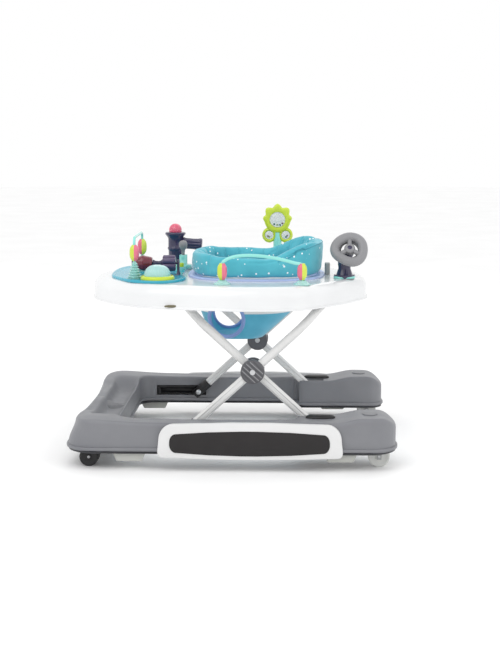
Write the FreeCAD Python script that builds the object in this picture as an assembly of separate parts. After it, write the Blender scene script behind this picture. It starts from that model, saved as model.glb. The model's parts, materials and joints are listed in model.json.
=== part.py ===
"""Folding baby walker: a wheeled U-shaped base, a scissor frame and a tray with a hanging seat and toys.

Row frame in millimetres: the origin is on the floor under the middle of the base, +X points to the
open back of the base, +Y to the child's right hand side and +Z up. The child faces -X.
"""
import FreeCAD
import Part
import math
import os

V = FreeCAD.Vector
AXIS_X, AXIS_Y, AXIS_Z = V(1, 0, 0), V(0, 1, 0), V(0, 0, 1)

# ---------------------------------------------------------------- base moulding
BASE_LENGTH = 724.0          # without the rim
BASE_WIDTH = 600.0
BASE_BOTTOM = 40.0           # underside of the upper moulding
BASE_WALL = 3.0
COVER_THICK = 3.0
RIM_OUT = 4.0                # the rim stands this far out of the side wall
RIM_HEIGHT = 6.0
RIM_BOTTOM = 45.0
CORNER_R = 66.0
RAIL_TOP = 98.0
RAIL_WIDTH = 54.0
FRONT_WIDTH = 107.0
FRONT_DIP = 14.0             # how far the front face curves in between its corners
FRONT_DIP_HALF = 200.0
INNER_CORNER_R = 42.0
TOP_EDGE_R = 17.0
LOBE_LENGTH = 224.0          # the wide back end of each rail
LOBE_TOP = 116.0
LOBE_START = BASE_LENGTH / 2 - LOBE_LENGTH
LOBE_RAMP_START = LOBE_START + 67.0
LOBE_RAMP_END = LOBE_START + 124.0
LOBE_INNER_R = 38.0
LOBE_FRONT_R = 16.0

# ---------------------------------------------------------------- scissor frame
TUBE_R = 9.5
TUBE_WALL = 1.5
TUBE_GAP = 3.0               # between the outer and the inner tube where they cross
BEND_R = 42.0
UPPER_BEND_R = 70.0
NARROW_RUN = 96.4            # how far below the top bar the outer tube's legs begin to close in
NARROW_Y = 138.0             # half length of the outer tube's top bar
INNER_NARROW_Y = 150.0       # and of the inner tube's
LEG_GAP = 4.5                # between the rail and the outer tube
OUTER_LEG_Y = BASE_WIDTH / 2 - RAIL_WIDTH - LEG_GAP - TUBE_R    # half spacing of its legs
INNER_LEG_Y = OUTER_LEG_Y - 2 * TUBE_R - TUBE_GAP
SLOT_SIDE = 3.5              # room beside the inner tube in the housing's slot
HOUSING_WALL = 5.0
LOBE_WIDTH = BASE_WIDTH / 2 - INNER_LEG_Y + TUBE_R + SLOT_SIDE + HOUSING_WALL
LOWER_ARM = 205.0            # base pivot to crossing pivot
UPPER_ARM = 246.4            # crossing pivot to tray pivot
RAISED_ANGLE = 42.5          # slope of the arms at the highest setting
PIVOT_X = LOBE_START + 59.6
PIVOT_Z = 70.0
PIN_R = 4.0
BOLT_R = 3.0
RUN_CLEAR = 0.08             # radial clearance of a running fit
FREE_CLEAR = 0.4             # gap between pieces that slide past each other

HUB_R = 26.5
HUB_DEPTH = TUBE_R + 5.5     # from the middle of the tube
FITTING_R = TUBE_R + 2.5
FITTING_BACK = 13.0
FITTING_UP = 34.0
FOLD_RANGE = 26.0

# ---------------------------------------------------------------- tray
# The tray and all that is on it have a frame of their own: z = 0 is the tray's top face, and x = 0 is
# over the crossing of the frame.
BAR_DROP = TUBE_R + 13.5     # from the tray's top face to the middle of the top bars
TRAY_TOP = 0.0
TRAY_EDGE = -51.0
TRAY_WALL = 3.0
TRAY_TOP_R = 24.0
TRAY_LIP = 3.0
TRAY_LIP_HEIGHT = 4.0
TRAY_OVERHANG = 50.0         # of the tray's widest point past the outer tube's legs
TRAY_HALF_WIDTH = OUTER_LEG_Y + TRAY_OVERHANG
SEAT_X = 2.5
SEAT_HALF_LENGTH = 150.0
SEAT_HALF_WIDTH = 148.0

# ---------------------------------------------------------------- seat
SEAT_FLANGE = 9.0
SEAT_FLANGE_THICK = 4.0
SEAT_BOTTOM = -144.0
SEAT_BOTTOM_HALF_LENGTH = 62.0
SEAT_BOTTOM_HALF_WIDTH = 70.0
SEAT_BOTTOM_X = -41.5
SEAT_FABRIC = 5.0
LEG_HOLE_HALF_LENGTH = 40.0
LEG_HOLE_HALF_HEIGHT = 44.0
LEG_HOLE_X = -64.5
LEG_HOLE_Z = -94.0
PAD_THICK = 30.0
PAD_FRONT_TOP = 60.0
PAD_BACK_TOP = 92.0

# ---------------------------------------------------------------- wheels
CASTER_R = 21.0
CASTER_DISC = 11.0
CASTER_GAP = 13.0
CASTER_TRAIL = 17.0
CASTER_X = -BASE_LENGTH / 2 + 65.0
CASTER_Y = BASE_WIDTH / 2 - 50.0
CASTER_STEM_R = 4.5
CASTER_SWEEP = math.hypot(CASTER_TRAIL + CASTER_R, CASTER_GAP / 2 + CASTER_DISC)
CASTER_WELL_R = CASTER_SWEEP + 2.2
WELL_TOP = 2 * CASTER_R + 10.0
AXLE_R = 3.0
REAR_WHEEL_R = 24.0
REAR_WHEEL_WIDTH = 19.0
REAR_WHEEL_X = BASE_LENGTH / 2 - 37.0
REAR_WHEEL_Y = BASE_WIDTH / 2 - 55.0
STRUT = 3.5
STRUT_WIDTH = 10.0
STRUT_BOTTOM = 17.0

# ---------------------------------------------------------------- feet and foot plates
PAD_BOTTOM = 18.0
PAD_LENGTH = 73.0
PAD_OUTER_Y = BASE_WIDTH / 2 - 10.0
PAD_WIDTH = 28.0
FRONT_PAD_X = -BASE_LENGTH / 2 + 140.0
REAR_PAD_X = BASE_LENGTH / 2 - 123.0
PLATE_START = -BASE_LENGTH / 2 + 209.0
PLATE_END = BASE_LENGTH / 2 - 124.0
PLATE_TOP, PLATE_BOTTOM = 109.0, 27.0
PLATE_BOW = 5.0
PLATE_THICK = 12.0
PLATE_CORNER_R = 30.0
GRIP_START = PLATE_START + 21.0
GRIP_END = PLATE_END - 23.0
GRIP_TOP, GRIP_BOTTOM = 84.0, 43.0
GRIP_BOW = 6.0
GRIP_THICK = 1.6


def mirrored(shape):
    """The same shape on the other side of the walker."""
    return shape.mirror(V(0, 0, 0), AXIS_Y)


def pair(shape):
    """The shape and its mirror image as separate solids."""
    return Part.makeCompound([shape, mirrored(shape)])


def box(x0, x1, y0, y1, z0, z1):
    return Part.makeBox(x1 - x0, y1 - y0, z1 - z0, V(x0, y0, z0))


def rounded_box(x0, x1, y0, y1, z0, z1, radius):
    """A box with round vertical edges."""
    solid = box(x0, x1, y0, y1, z0, z1)
    upright = [e for e in solid.Edges if abs(e.Vertexes[0].Z - e.Vertexes[-1].Z) > 1e-6]
    return solid.makeFillet(radius, upright)


def rod_y(radius, x, z, y0, y1):
    """A cylinder along Y from y0 to y1."""
    return Part.makeCylinder(radius, y1 - y0, V(x, y0, z), AXIS_Y)


def rod_z(radius, x, y, z0, z1):
    return Part.makeCylinder(radius, z1 - z0, V(x, y, z0), AXIS_Z)


def turned(points, centre):
    """A solid of revolution about the vertical through centre; points are (radius, height) pairs."""
    ring = [V(centre[0] + r, centre[1], z) for r, z in points]
    face = Part.Face(Part.makePolygon(ring + ring[:1]))
    return face.revolve(V(centre[0], centre[1], 0), AXIS_Z, 360)


def prism_xz(points, y0, y1):
    """A flat outline in the XZ plane, drawn from y0 to y1."""
    corners = [V(x, y0, z) for x, z in points]
    return Part.Face(Part.makePolygon(corners + corners[:1])).extrude(V(0, y1 - y0, 0))


def level_edges(solid, low, high):
    """Edges that lie wholly between two heights."""
    return [e for e in solid.Edges if e.BoundBox.ZMin > low - 1e-3 and e.BoundBox.ZMax < high + 1e-3]


def ellipsoid(centre, half_x, half_y, half_z):
    ball = Part.makeSphere(1.0)
    grow = FreeCAD.Matrix(half_x, 0, 0, centre[0], 0, half_y, 0, centre[1],
                          0, 0, half_z, centre[2], 0, 0, 0, 1)
    return ball.transformGeometry(grow)


def round_rod(points, radius, bend_r):
    """A round rod along straight runs that are joined by arcs of radius bend_r."""
    edges = []
    start = points[0]
    for before, corner, after in zip(points, points[1:], points[2:]):
        back = (before - corner).normalize()
        on = (after - corner).normalize()
        half_turn = (math.pi - back.getAngle(on)) / 2
        p = corner + back * (bend_r * math.tan(half_turn))
        q = corner + on * (bend_r * math.tan(half_turn))
        inward = (back + on).normalize()
        middle = corner + inward * (bend_r / math.cos(half_turn) - bend_r)
        edges.append(Part.LineSegment(start, p).toShape())
        edges.append(Part.Arc(p, middle, q).toShape())
        start = q
    edges.append(Part.LineSegment(start, points[-1]).toShape())
    profile = Part.Wire(Part.makeCircle(radius, points[0], points[1] - points[0]))
    return Part.Wire(edges).makePipeShell([profile], True, False)


def torus(centre, ring_r, rod_r, axis):
    return Part.makeTorus(ring_r, rod_r, centre, axis)


# ================================================================ base

def base_form(inset, floor):
    """The outside of the base moved inwards by inset, from floor up to its top."""
    front, back = -BASE_LENGTH / 2 + inset, BASE_LENGTH / 2 - inset
    side = BASE_WIDTH / 2 - inset
    rail_in = BASE_WIDTH / 2 - RAIL_WIDTH + inset
    lobe_in = BASE_WIDTH / 2 - LOBE_WIDTH + inset
    front_in = -BASE_LENGTH / 2 + FRONT_WIDTH - inset
    top, lobe_top = RAIL_TOP - inset, LOBE_TOP - inset
    edge_r = TOP_EDGE_R - inset

    ring = rounded_box(front, back - CORNER_R, -side, side, floor, top, CORNER_R - inset)
    ring = ring.cut(box(LOBE_START + 30, back, -side - 1, side + 1, floor - 1, top + 1))
    ring = ring.cut(rounded_box(front_in, back + 200, -rail_in, rail_in, floor - 1, top + 1,
                                INNER_CORNER_R + inset))
    dip_r = (FRONT_DIP_HALF ** 2 + FRONT_DIP ** 2) / (2 * FRONT_DIP)
    ring = ring.cut(rod_z(dip_r, front + FRONT_DIP - dip_r, 0, floor - 1, top + 1))
    rim = [e for e in level_edges(ring, top, top) if e.BoundBox.XMin < LOBE_START + 29]
    ring = ring.makeFillet(edge_r, rim)

    lobe = prism_xz([(LOBE_START + inset, floor), (LOBE_START + inset, top), (LOBE_RAMP_START, top),
                     (LOBE_RAMP_END, lobe_top), (back, lobe_top), (back, floor)], lobe_in, side)
    for x_edge, y_edge, radius in ((back, lobe_in, LOBE_INNER_R), (back, side, CORNER_R),
                                   (LOBE_START + inset, lobe_in, LOBE_FRONT_R)):
        upright = [e for e in lobe.Edges if e.BoundBox.ZLength > 20 and e.BoundBox.XLength < 1e-3
                   and abs(e.BoundBox.XMin - x_edge) < 1e-3 and abs(e.BoundBox.YMin - y_edge) < 1e-3]
        lobe = lobe.makeFillet(radius - inset, upright)
    rim = [e for e in lobe.Edges if e.BoundBox.ZMin > top - 1e-3 and not
           (e.BoundBox.YLength > LOBE_WIDTH / 2 and e.BoundBox.XMax < back - 1)]
    lobe = lobe.makeFillet(edge_r, rim)
    return ring.fuse([lobe, mirrored(lobe)]).removeSplitter()


def base_rim():
    """The narrow rim where the upper moulding and the bottom cover meet."""
    form = base_form(-RIM_OUT, RIM_BOTTOM)
    return form.common(box(-BASE_LENGTH, BASE_LENGTH, -BASE_WIDTH, BASE_WIDTH,
                           RIM_BOTTOM, RIM_BOTTOM + RIM_HEIGHT))


# sides of the scissor frame: where the arms turn and end
SLOPE = math.radians(RAISED_ANGLE)
CROSS_X = PIVOT_X - LOWER_ARM * math.cos(SLOPE)
CROSS_Z = PIVOT_Z + LOWER_ARM * math.sin(SLOPE)
SLIDER_X = CROSS_X - LOWER_ARM * math.cos(SLOPE)
BAR_Z = CROSS_Z + UPPER_ARM * math.sin(SLOPE)
ARM = LOWER_ARM + UPPER_ARM
BAR_REACH = UPPER_ARM * math.cos(SLOPE)
PIN_INNER_Y = INNER_LEG_Y - TUBE_R - SLOT_SIDE - 3.0
PIN_OUTER_Y = INNER_LEG_Y + TUBE_R + SLOT_SIDE + 4.0
SLIDER_TRAVEL = 2 * LOWER_ARM * (math.cos(math.radians(RAISED_ANGLE - FOLD_RANGE)) - math.cos(SLOPE))
RAIL_INNER_Y = BASE_WIDTH / 2 - RAIL_WIDTH
RACK_DEPTH = 16.0
RACK_HALF = 12.0
CHANNEL_HALF = 7.0
SLIDER_HALF = CHANNEL_HALF - FREE_CLEAR
SLIDER_HALF_LENGTH = 9.0
RACK_BACK = SLIDER_X + SLIDER_HALF_LENGTH + 8.0
RACK_FRONT = SLIDER_X - SLIDER_TRAVEL - SLIDER_HALF_LENGTH - 8.0


def on_a(s, y):
    """A point on the inner tube: s from the base pivot up the arm."""
    return V(PIVOT_X - s * math.cos(SLOPE), y, PIVOT_Z + s * math.sin(SLOPE))


def on_b(s, y):
    """A point on the outer tube: s from the slider pin up the arm."""
    return V(SLIDER_X + s * math.cos(SLOPE), y, PIVOT_Z + s * math.sin(SLOPE))


def frame_a_solid(radius):
    y, n = INNER_LEG_Y, INNER_NARROW_Y
    return round_rod([on_a(-11, -y), on_a(ARM - NARROW_RUN, -y), on_a(ARM, -n), on_a(ARM, n),
                      on_a(ARM - NARROW_RUN, y), on_a(-11, y)], radius, BEND_R)


def frame_b_solid(radius):
    y, n = OUTER_LEG_Y, NARROW_Y
    return round_rod([on_b(-11, -y), on_b(ARM - NARROW_RUN, -y), on_b(ARM, -n), on_b(ARM, n),
                      on_b(ARM - NARROW_RUN, y), on_b(-11, y)], radius, UPPER_BEND_R)


def bottom_form():
    return base_form(0, BASE_BOTTOM - COVER_THICK)


def base_upper_shell():
    """The grey moulding with its wheel wells, rail slots and the housings at the back."""
    shell = base_form(0, BASE_BOTTOM).fuse(base_rim())
    shell = shell.cut(base_form(BASE_WALL, BASE_BOTTOM - 1))
    side = BASE_WIDTH / 2
    blocks = box(CASTER_X - CASTER_WELL_R - 6, CASTER_X + CASTER_WELL_R + 6,
                 CASTER_Y - CASTER_WELL_R - 6, side + 10, BASE_BOTTOM, RAIL_TOP)
    blocks = blocks.fuse([
        box(LOBE_START, PIVOT_X + 30, side - LOBE_WIDTH, PIN_OUTER_Y + 1, BASE_BOTTOM, RAIL_TOP),
        box(RACK_FRONT - 4, RACK_BACK + 4, RAIL_INNER_Y, RAIL_INNER_Y + RACK_DEPTH + 3,
            PIVOT_Z - RACK_HALF - 3, PIVOT_Z + RACK_HALF + 3),
        box(REAR_WHEEL_X - 32, REAR_WHEEL_X + 32, REAR_WHEEL_Y - 20, REAR_WHEEL_Y + 20,
            BASE_BOTTOM, BASE_BOTTOM + 26)])
    blocks = blocks.common(base_form(1.5, BASE_BOTTOM))
    holes = rod_z(CASTER_WELL_R, CASTER_X, CASTER_Y, 0, WELL_TOP).fuse([
        rod_z(CASTER_STEM_R + RUN_CLEAR, CASTER_X, CASTER_Y, 0, WELL_TOP + 32),
        box(LOBE_START - 20, PIVOT_X + 16, INNER_LEG_Y - TUBE_R - SLOT_SIDE, INNER_LEG_Y + TUBE_R + SLOT_SIDE,
            BASE_BOTTOM + 8, LOBE_TOP + 20),
        box(RACK_FRONT, RACK_BACK, RAIL_INNER_Y - 1, RAIL_INNER_Y + RACK_DEPTH,
            PIVOT_Z - RACK_HALF, PIVOT_Z + RACK_HALF),
        rod_y(PIN_R, PIVOT_X, PIVOT_Z, PIN_INNER_Y, PIN_OUTER_Y),
        box(REAR_WHEEL_X - 28, REAR_WHEEL_X + 28, REAR_WHEEL_Y - 15, REAR_WHEEL_Y + 15,
            0, BASE_BOTTOM + 20)])
    shell = shell.fuse([blocks, mirrored(blocks)])
    return shell.cut([holes, mirrored(holes), rim_gap(), mirrored(rim_gap())])


def rim_gap():
    """The part of the rim that makes room for a foot plate."""
    side = BASE_WIDTH / 2
    return box(PLATE_START - 2, PLATE_END + 2, side, side + 20, RIM_BOTTOM - 5, RIM_BOTTOM + 20)


def base_bottom_cover():
    """The flat cover that closes the moulding from below, open at the wheels."""
    plate = bottom_form().common(box(-BASE_LENGTH, BASE_LENGTH, -BASE_WIDTH, BASE_WIDTH,
                                     BASE_BOTTOM - COVER_THICK, BASE_BOTTOM))
    holes = rod_z(CASTER_WELL_R, CASTER_X, CASTER_Y, 0, WELL_TOP).fuse(
        box(REAR_WHEEL_X - 28, REAR_WHEEL_X + 28, REAR_WHEEL_Y - 15, REAR_WHEEL_Y + 15, 0, 60))
    return plate.cut([holes, mirrored(holes)])


def bowed_plate(x0, x1, bottom, top, bow, corner, y0, y1):
    """An upright plate with a bowed top and bottom and round corners."""
    mid = (x0 + x1) / 2
    edges = [Part.Arc(V(x0, y0, top - bow), V(mid, y0, top), V(x1, y0, top - bow)).toShape(),
             Part.makeLine(V(x1, y0, top - bow), V(x1, y0, bottom + bow)),
             Part.Arc(V(x1, y0, bottom + bow), V(mid, y0, bottom), V(x0, y0, bottom + bow)).toShape(),
             Part.makeLine(V(x0, y0, bottom + bow), V(x0, y0, top - bow))]
    solid = Part.Face(Part.Wire(edges)).extrude(V(0, y1 - y0, 0))
    ends = [e for e in solid.Edges if e.BoundBox.YLength > 0.9 * (y1 - y0)]
    return solid.makeFillet(corner, ends)


def foot_plates():
    side = BASE_WIDTH / 2
    plate = bowed_plate(PLATE_START, PLATE_END, PLATE_BOTTOM, PLATE_TOP, PLATE_BOW, PLATE_CORNER_R,
                        side, side + PLATE_THICK)
    return pair(plate)


def foot_grips():
    face = BASE_WIDTH / 2 + PLATE_THICK
    return pair(bowed_plate(GRIP_START, GRIP_END, GRIP_BOTTOM, GRIP_TOP, GRIP_BOW, 14.0,
                            face, face + GRIP_THICK))


def friction_pads():
    """Four rubber feet that stop the base when a wheel drops off an edge."""
    top = BASE_BOTTOM - COVER_THICK
    feet = []
    for x in (FRONT_PAD_X, REAR_PAD_X):
        half, slant = PAD_LENGTH / 2, 9.0
        feet.append(prism_xz([(x - half, top), (x + half, top), (x + half - slant, PAD_BOTTOM),
                              (x - half + slant, PAD_BOTTOM)],
                             PAD_OUTER_Y - PAD_WIDTH, PAD_OUTER_Y))
    return Part.makeCompound(feet + [mirrored(f) for f in feet])


def height_racks():
    """A toothed channel in each rail that the front ends of the frame run in."""
    y = RAIL_INNER_Y
    rack = box(RACK_FRONT, RACK_BACK, y, y + RACK_DEPTH, PIVOT_Z - RACK_HALF, PIVOT_Z + RACK_HALF)
    rack = rack.cut(box(RACK_FRONT + 7, RACK_BACK - 7, y - 1, y + RACK_DEPTH - 3,
                        PIVOT_Z - CHANNEL_HALF, PIVOT_Z + CHANNEL_HALF))
    pitch = 7.0
    gaps = [box(x, x + 3.2, y - 1, y + 2.2, PIVOT_Z - RACK_HALF - 1, PIVOT_Z - CHANNEL_HALF + 0.1)
            for x in [RACK_FRONT + 10 + pitch * k for k in range(15)]]
    return pair(rack.cut(gaps))


def frame_pivot_pins():
    pin = rod_y(PIN_R, PIVOT_X, PIVOT_Z, PIN_INNER_Y, PIN_OUTER_Y)
    return pair(pin)


def housing_levers():
    """The dark oval release plates on top of the rear housings."""
    y = INNER_LEG_Y + TUBE_R + SLOT_SIDE + 10.5
    plate = rounded_box(LOBE_START + 28, LOBE_START + 66, y - 9, y + 9, RAIL_TOP, RAIL_TOP + 3, 8.9)
    return pair(plate)


def lobe_caps():
    cap = rod_z(17.0, BASE_LENGTH / 2 - 58, BASE_WIDTH / 2 - 53, LOBE_TOP, LOBE_TOP + 3)
    return pair(cap.makeFillet(1.5, level_edges(cap, LOBE_TOP + 3, LOBE_TOP + 3)))


def front_cup():
    """The round recessed dish on the front of the base."""
    return turned([(0, RAIL_TOP), (34, RAIL_TOP), (37, RAIL_TOP + 3), (33, RAIL_TOP + 5),
                   (28, RAIL_TOP + 1.5), (0, RAIL_TOP + 1.5)], (-BASE_LENGTH / 2 + 66, 0))


def base_trim():
    """The loose caps and the dish that are pressed onto the moulding's top."""
    return Part.makeCompound(lobe_caps().Solids + [front_cup()])


def rear_wheel_brackets():
    """Two dark struts per rear wheel that reach down over its hub."""
    half = REAR_WHEEL_WIDTH / 2 + FREE_CLEAR
    struts = []
    for y0, y1 in ((-half - STRUT, -half), (half, half + STRUT)):
        strut = box(REAR_WHEEL_X - STRUT_WIDTH / 2, REAR_WHEEL_X + STRUT_WIDTH / 2,
                    REAR_WHEEL_Y + y0, REAR_WHEEL_Y + y1, STRUT_BOTTOM, BASE_BOTTOM + 20)
        struts.append(strut.cut(rod_y(AXLE_R, REAR_WHEEL_X, REAR_WHEEL_R, 0, BASE_WIDTH)))
    return Part.makeCompound(struts + [mirrored(t) for t in struts])


def rear_axles():
    half = REAR_WHEEL_WIDTH / 2 + FREE_CLEAR + STRUT + 0.8
    return pair(rod_y(AXLE_R, REAR_WHEEL_X, REAR_WHEEL_R, REAR_WHEEL_Y - half, REAR_WHEEL_Y + half))


def rear_wheel():
    """A rear wheel with a dished face on both sides."""
    half = REAR_WHEEL_WIDTH / 2
    wheel = rod_y(REAR_WHEEL_R, REAR_WHEEL_X, REAR_WHEEL_R, REAR_WHEEL_Y - half, REAR_WHEEL_Y + half)
    wheel = wheel.makeFillet(3.0, [e for e in wheel.Edges if e.Curve.TypeId == "Part::GeomCircle"])
    return wheel.cut(rod_y(AXLE_R + RUN_CLEAR, REAR_WHEEL_X, REAR_WHEEL_R, 0, BASE_WIDTH))


# ================================================================ casters

def caster_fork():
    """Hood and web between the two discs, with the stem that turns in the base."""
    half = CASTER_GAP / 2 - FREE_CLEAR
    wheel_x = CASTER_X - CASTER_TRAIL
    web = rod_y(CASTER_R - 4, wheel_x, CASTER_R, CASTER_Y - half, CASTER_Y + half)
    neck = box(wheel_x, CASTER_X + 8, CASTER_Y - half, CASTER_Y + half, CASTER_R + 4, WELL_TOP - 2)
    hood = rod_z(12.0, CASTER_X, CASTER_Y, WELL_TOP - 7, WELL_TOP - 0.5)
    stem = rod_z(CASTER_STEM_R, CASTER_X, CASTER_Y, WELL_TOP - 7, WELL_TOP + 31)
    fork = web.fuse([neck, hood, stem])
    return fork.cut(rod_y(AXLE_R, wheel_x, CASTER_R, CASTER_Y - 30, CASTER_Y + 30))


def caster_axle():
    half = CASTER_GAP / 2 + CASTER_DISC + 1.0
    return rod_y(AXLE_R, CASTER_X - CASTER_TRAIL, CASTER_R, CASTER_Y - half, CASTER_Y + half)


def caster_wheel():
    """The two discs of a caster; they turn together on the axle."""
    discs = []
    for y0 in (CASTER_Y - CASTER_GAP / 2 - CASTER_DISC, CASTER_Y + CASTER_GAP / 2):
        disc = rod_y(CASTER_R, CASTER_X - CASTER_TRAIL, CASTER_R, y0, y0 + CASTER_DISC)
        disc = disc.makeFillet(2.5, [e for e in disc.Edges if e.Curve.TypeId == "Part::GeomCircle"])
        discs.append(disc.cut(rod_y(AXLE_R + RUN_CLEAR, CASTER_X - CASTER_TRAIL, CASTER_R, 0, BASE_WIDTH)))
    return Part.makeCompound(discs)


# ================================================================ scissor frame

def frame_a_tube():
    bores = [rod_y(PIN_R + RUN_CLEAR, PIVOT_X, PIVOT_Z, -BASE_WIDTH, BASE_WIDTH),
             rod_y(BOLT_R, CROSS_X, CROSS_Z, -BASE_WIDTH, BASE_WIDTH)]
    return frame_a_solid(TUBE_R).cut(frame_a_solid(TUBE_R - TUBE_WALL)).cut(bores)


def frame_b_tube():
    bores = [rod_y(PIN_R, SLIDER_X, PIVOT_Z, -BASE_WIDTH, BASE_WIDTH),
             rod_y(BOLT_R + RUN_CLEAR, CROSS_X, CROSS_Z, -BASE_WIDTH, BASE_WIDTH)]
    return frame_b_solid(TUBE_R).cut(frame_b_solid(TUBE_R - TUBE_WALL)).cut(bores)


def end_fittings():
    """Plastic caps on the lower front ends of the outer tube."""
    cap = round_rod_straight(on_b(-FITTING_BACK, OUTER_LEG_Y), on_b(FITTING_UP, OUTER_LEG_Y), FITTING_R)
    bore = round_rod_straight(on_b(-11, OUTER_LEG_Y), on_b(FITTING_UP + 5, OUTER_LEG_Y), TUBE_R)
    return pair(cap.cut([bore, rod_y(PIN_R, SLIDER_X, PIVOT_Z, 0, BASE_WIDTH)]))


def round_rod_straight(start, end, radius):
    return Part.makeCylinder(radius, (end - start).Length, start, end - start)


def slider_pins():
    pin = rod_y(PIN_R, SLIDER_X, PIVOT_Z, OUTER_LEG_Y - FITTING_R - 2, RAIL_INNER_Y + 12)
    head = rod_y(6.5, SLIDER_X, PIVOT_Z, OUTER_LEG_Y - FITTING_R - 3, OUTER_LEG_Y - FITTING_R)
    return pair(pin.fuse(head))


def slot_slider():
    """The block that runs in the rail's channel."""
    y = RAIL_INNER_Y + 1
    block = box(SLIDER_X - SLIDER_HALF_LENGTH, SLIDER_X + SLIDER_HALF_LENGTH, y, y + 11,
                PIVOT_Z - SLIDER_HALF, PIVOT_Z + SLIDER_HALF)
    return block.cut(rod_y(PIN_R + RUN_CLEAR, SLIDER_X, PIVOT_Z, 0, BASE_WIDTH))


def outer_covers():
    """Round grooved covers over the crossing, on the outer tube."""
    face = OUTER_LEG_Y + HUB_DEPTH
    hub = rod_y(HUB_R, CROSS_X, CROSS_Z, OUTER_LEG_Y, face)
    hub = hub.makeFillet(4.0, [e for e in hub.Edges if e.BoundBox.YMin > face - 1e-3])
    grooves = []
    for k in (-2, -1, 0, 1, 2):
        bar = box(CROSS_X - 40, CROSS_X + 40, face - 1.6, face + 1, CROSS_Z + 9 * k - 1.4,
                  CROSS_Z + 9 * k + 1.4)
        bar.rotate(V(CROSS_X, 0, CROSS_Z), AXIS_Y, 45)
        grooves.append(bar)
    hub = hub.cut(grooves + [frame_b_solid(TUBE_R),
                             rod_y(BOLT_R + RUN_CLEAR, CROSS_X, CROSS_Z, 0, BASE_WIDTH)])
    return pair(hub)


def inner_covers():
    """Round covers over the crossing, on the inner tube."""
    hub = rod_y(HUB_R - 1, CROSS_X, CROSS_Z, INNER_LEG_Y - HUB_DEPTH, INNER_LEG_Y)
    hub = hub.makeFillet(4.0, [e for e in hub.Edges if e.BoundBox.YMax < INNER_LEG_Y - HUB_DEPTH + 1e-3])
    return pair(hub.cut([frame_a_solid(TUBE_R), rod_y(BOLT_R, CROSS_X, CROSS_Z, 0, BASE_WIDTH)]))


def scissor_bolts():
    """A bolt through each crossing; it is fixed in the inner tube."""
    low, high = INNER_LEG_Y - HUB_DEPTH - 1, OUTER_LEG_Y + HUB_DEPTH + 0.3
    shank = rod_y(BOLT_R, CROSS_X, CROSS_Z, low, high)
    return pair(shank.fuse([rod_y(6.0, CROSS_X, CROSS_Z, high, high + 2),
                            rod_y(6.0, CROSS_X, CROSS_Z, low - 2, low + 1)]))


def scissor_spacers():
    ring = rod_y(8.0, CROSS_X, CROSS_Z, INNER_LEG_Y + 4, OUTER_LEG_Y - TUBE_R - 0.3)
    return pair(ring.cut([frame_a_solid(TUBE_R), rod_y(BOLT_R, CROSS_X, CROSS_Z, 0, BASE_WIDTH)]))


# ================================================================ tray

# plan points: x, and y as a share of the half width
TRAY_PLAN = ((-375.5, 0.106), (-359.5, 0.326), (-315.5, 0.571), (-259.5, 0.766), (-212.5, 0.855),
             (-167.5, 0.904), (-101.5, 0.954), (-36.5, 1.000), (38.5, 0.996), (102.5, 0.933),
             (137.5, 0.819), (169.5, 0.681), (203.5, 0.532), (232.5, 0.355), (256.5, 0.160))
GUIDE_Y = 92.0
SHOE_HALF_LENGTH = 13.0
SHOE_HALF_WIDTH = 14.0
SHOE_HEAD = 20.0
CEILING = TRAY_TOP - TRAY_WALL


def closed_spline(points):
    curve = Part.BSplineCurve()
    curve.interpolate(Points=points, PeriodicFlag=True)
    return Part.Wire(curve.toShape())


def moved_in(points, inset):
    """The closed list of plan points moved inwards by inset."""
    out = []
    count = len(points)
    for k, (x, y) in enumerate(points):
        (xa, ya), (xb, yb) = points[k - 1], points[(k + 1) % count]
        length = math.hypot(xb - xa, yb - ya)
        out.append((x - inset * (yb - ya) / length, y + inset * (xb - xa) / length))
    return out


def slab(points, z0, z1):
    wire = closed_spline([V(x, y, z0) for x, y in points])
    return Part.Face(wire).extrude(V(0, 0, z1 - z0))


def tray_plan():
    """The tray's outline, anticlockwise from the front right corner."""
    half = [(x, share * TRAY_HALF_WIDTH) for x, share in TRAY_PLAN]
    return [(x, -y) for x, y in half] + [(x, y) for x, y in reversed(half)]


def seat_plan(grow=0.0, half_x=SEAT_HALF_LENGTH, half_y=SEAT_HALF_WIDTH, centre_x=SEAT_X, count=28):
    """A rounded square outline around the seat opening."""
    out = []
    power = 2 / 2.6
    for k in range(count):
        angle = 2 * math.pi * k / count
        c, s = math.cos(angle), math.sin(angle)
        out.append((centre_x + (half_x + grow) * math.copysign(abs(c) ** power, c),
                    (half_y + grow) * math.copysign(abs(s) ** power, s)))
    return out


def tray_shell():
    """The white tray: a skirted shell with the seat opening."""
    plan = tray_plan()
    outer = slab(plan, TRAY_EDGE, TRAY_TOP)
    outer = outer.makeFillet(TRAY_TOP_R, level_edges(outer, TRAY_TOP, TRAY_TOP))
    inner = slab(moved_in(plan, TRAY_WALL), TRAY_EDGE - 1, CEILING)
    inner = inner.makeFillet(TRAY_TOP_R - TRAY_WALL, level_edges(inner, CEILING, CEILING))
    lip = slab(moved_in(plan, -TRAY_LIP), TRAY_EDGE, TRAY_EDGE + TRAY_LIP_HEIGHT)
    tray = outer.fuse(lip).cut(inner)
    opening = slab(seat_plan(), CEILING - 30, TRAY_TOP + 5)
    collar = slab(seat_plan(TRAY_WALL), CEILING - 10, CEILING + 1)
    return tray.fuse(collar).cut(opening)


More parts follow.
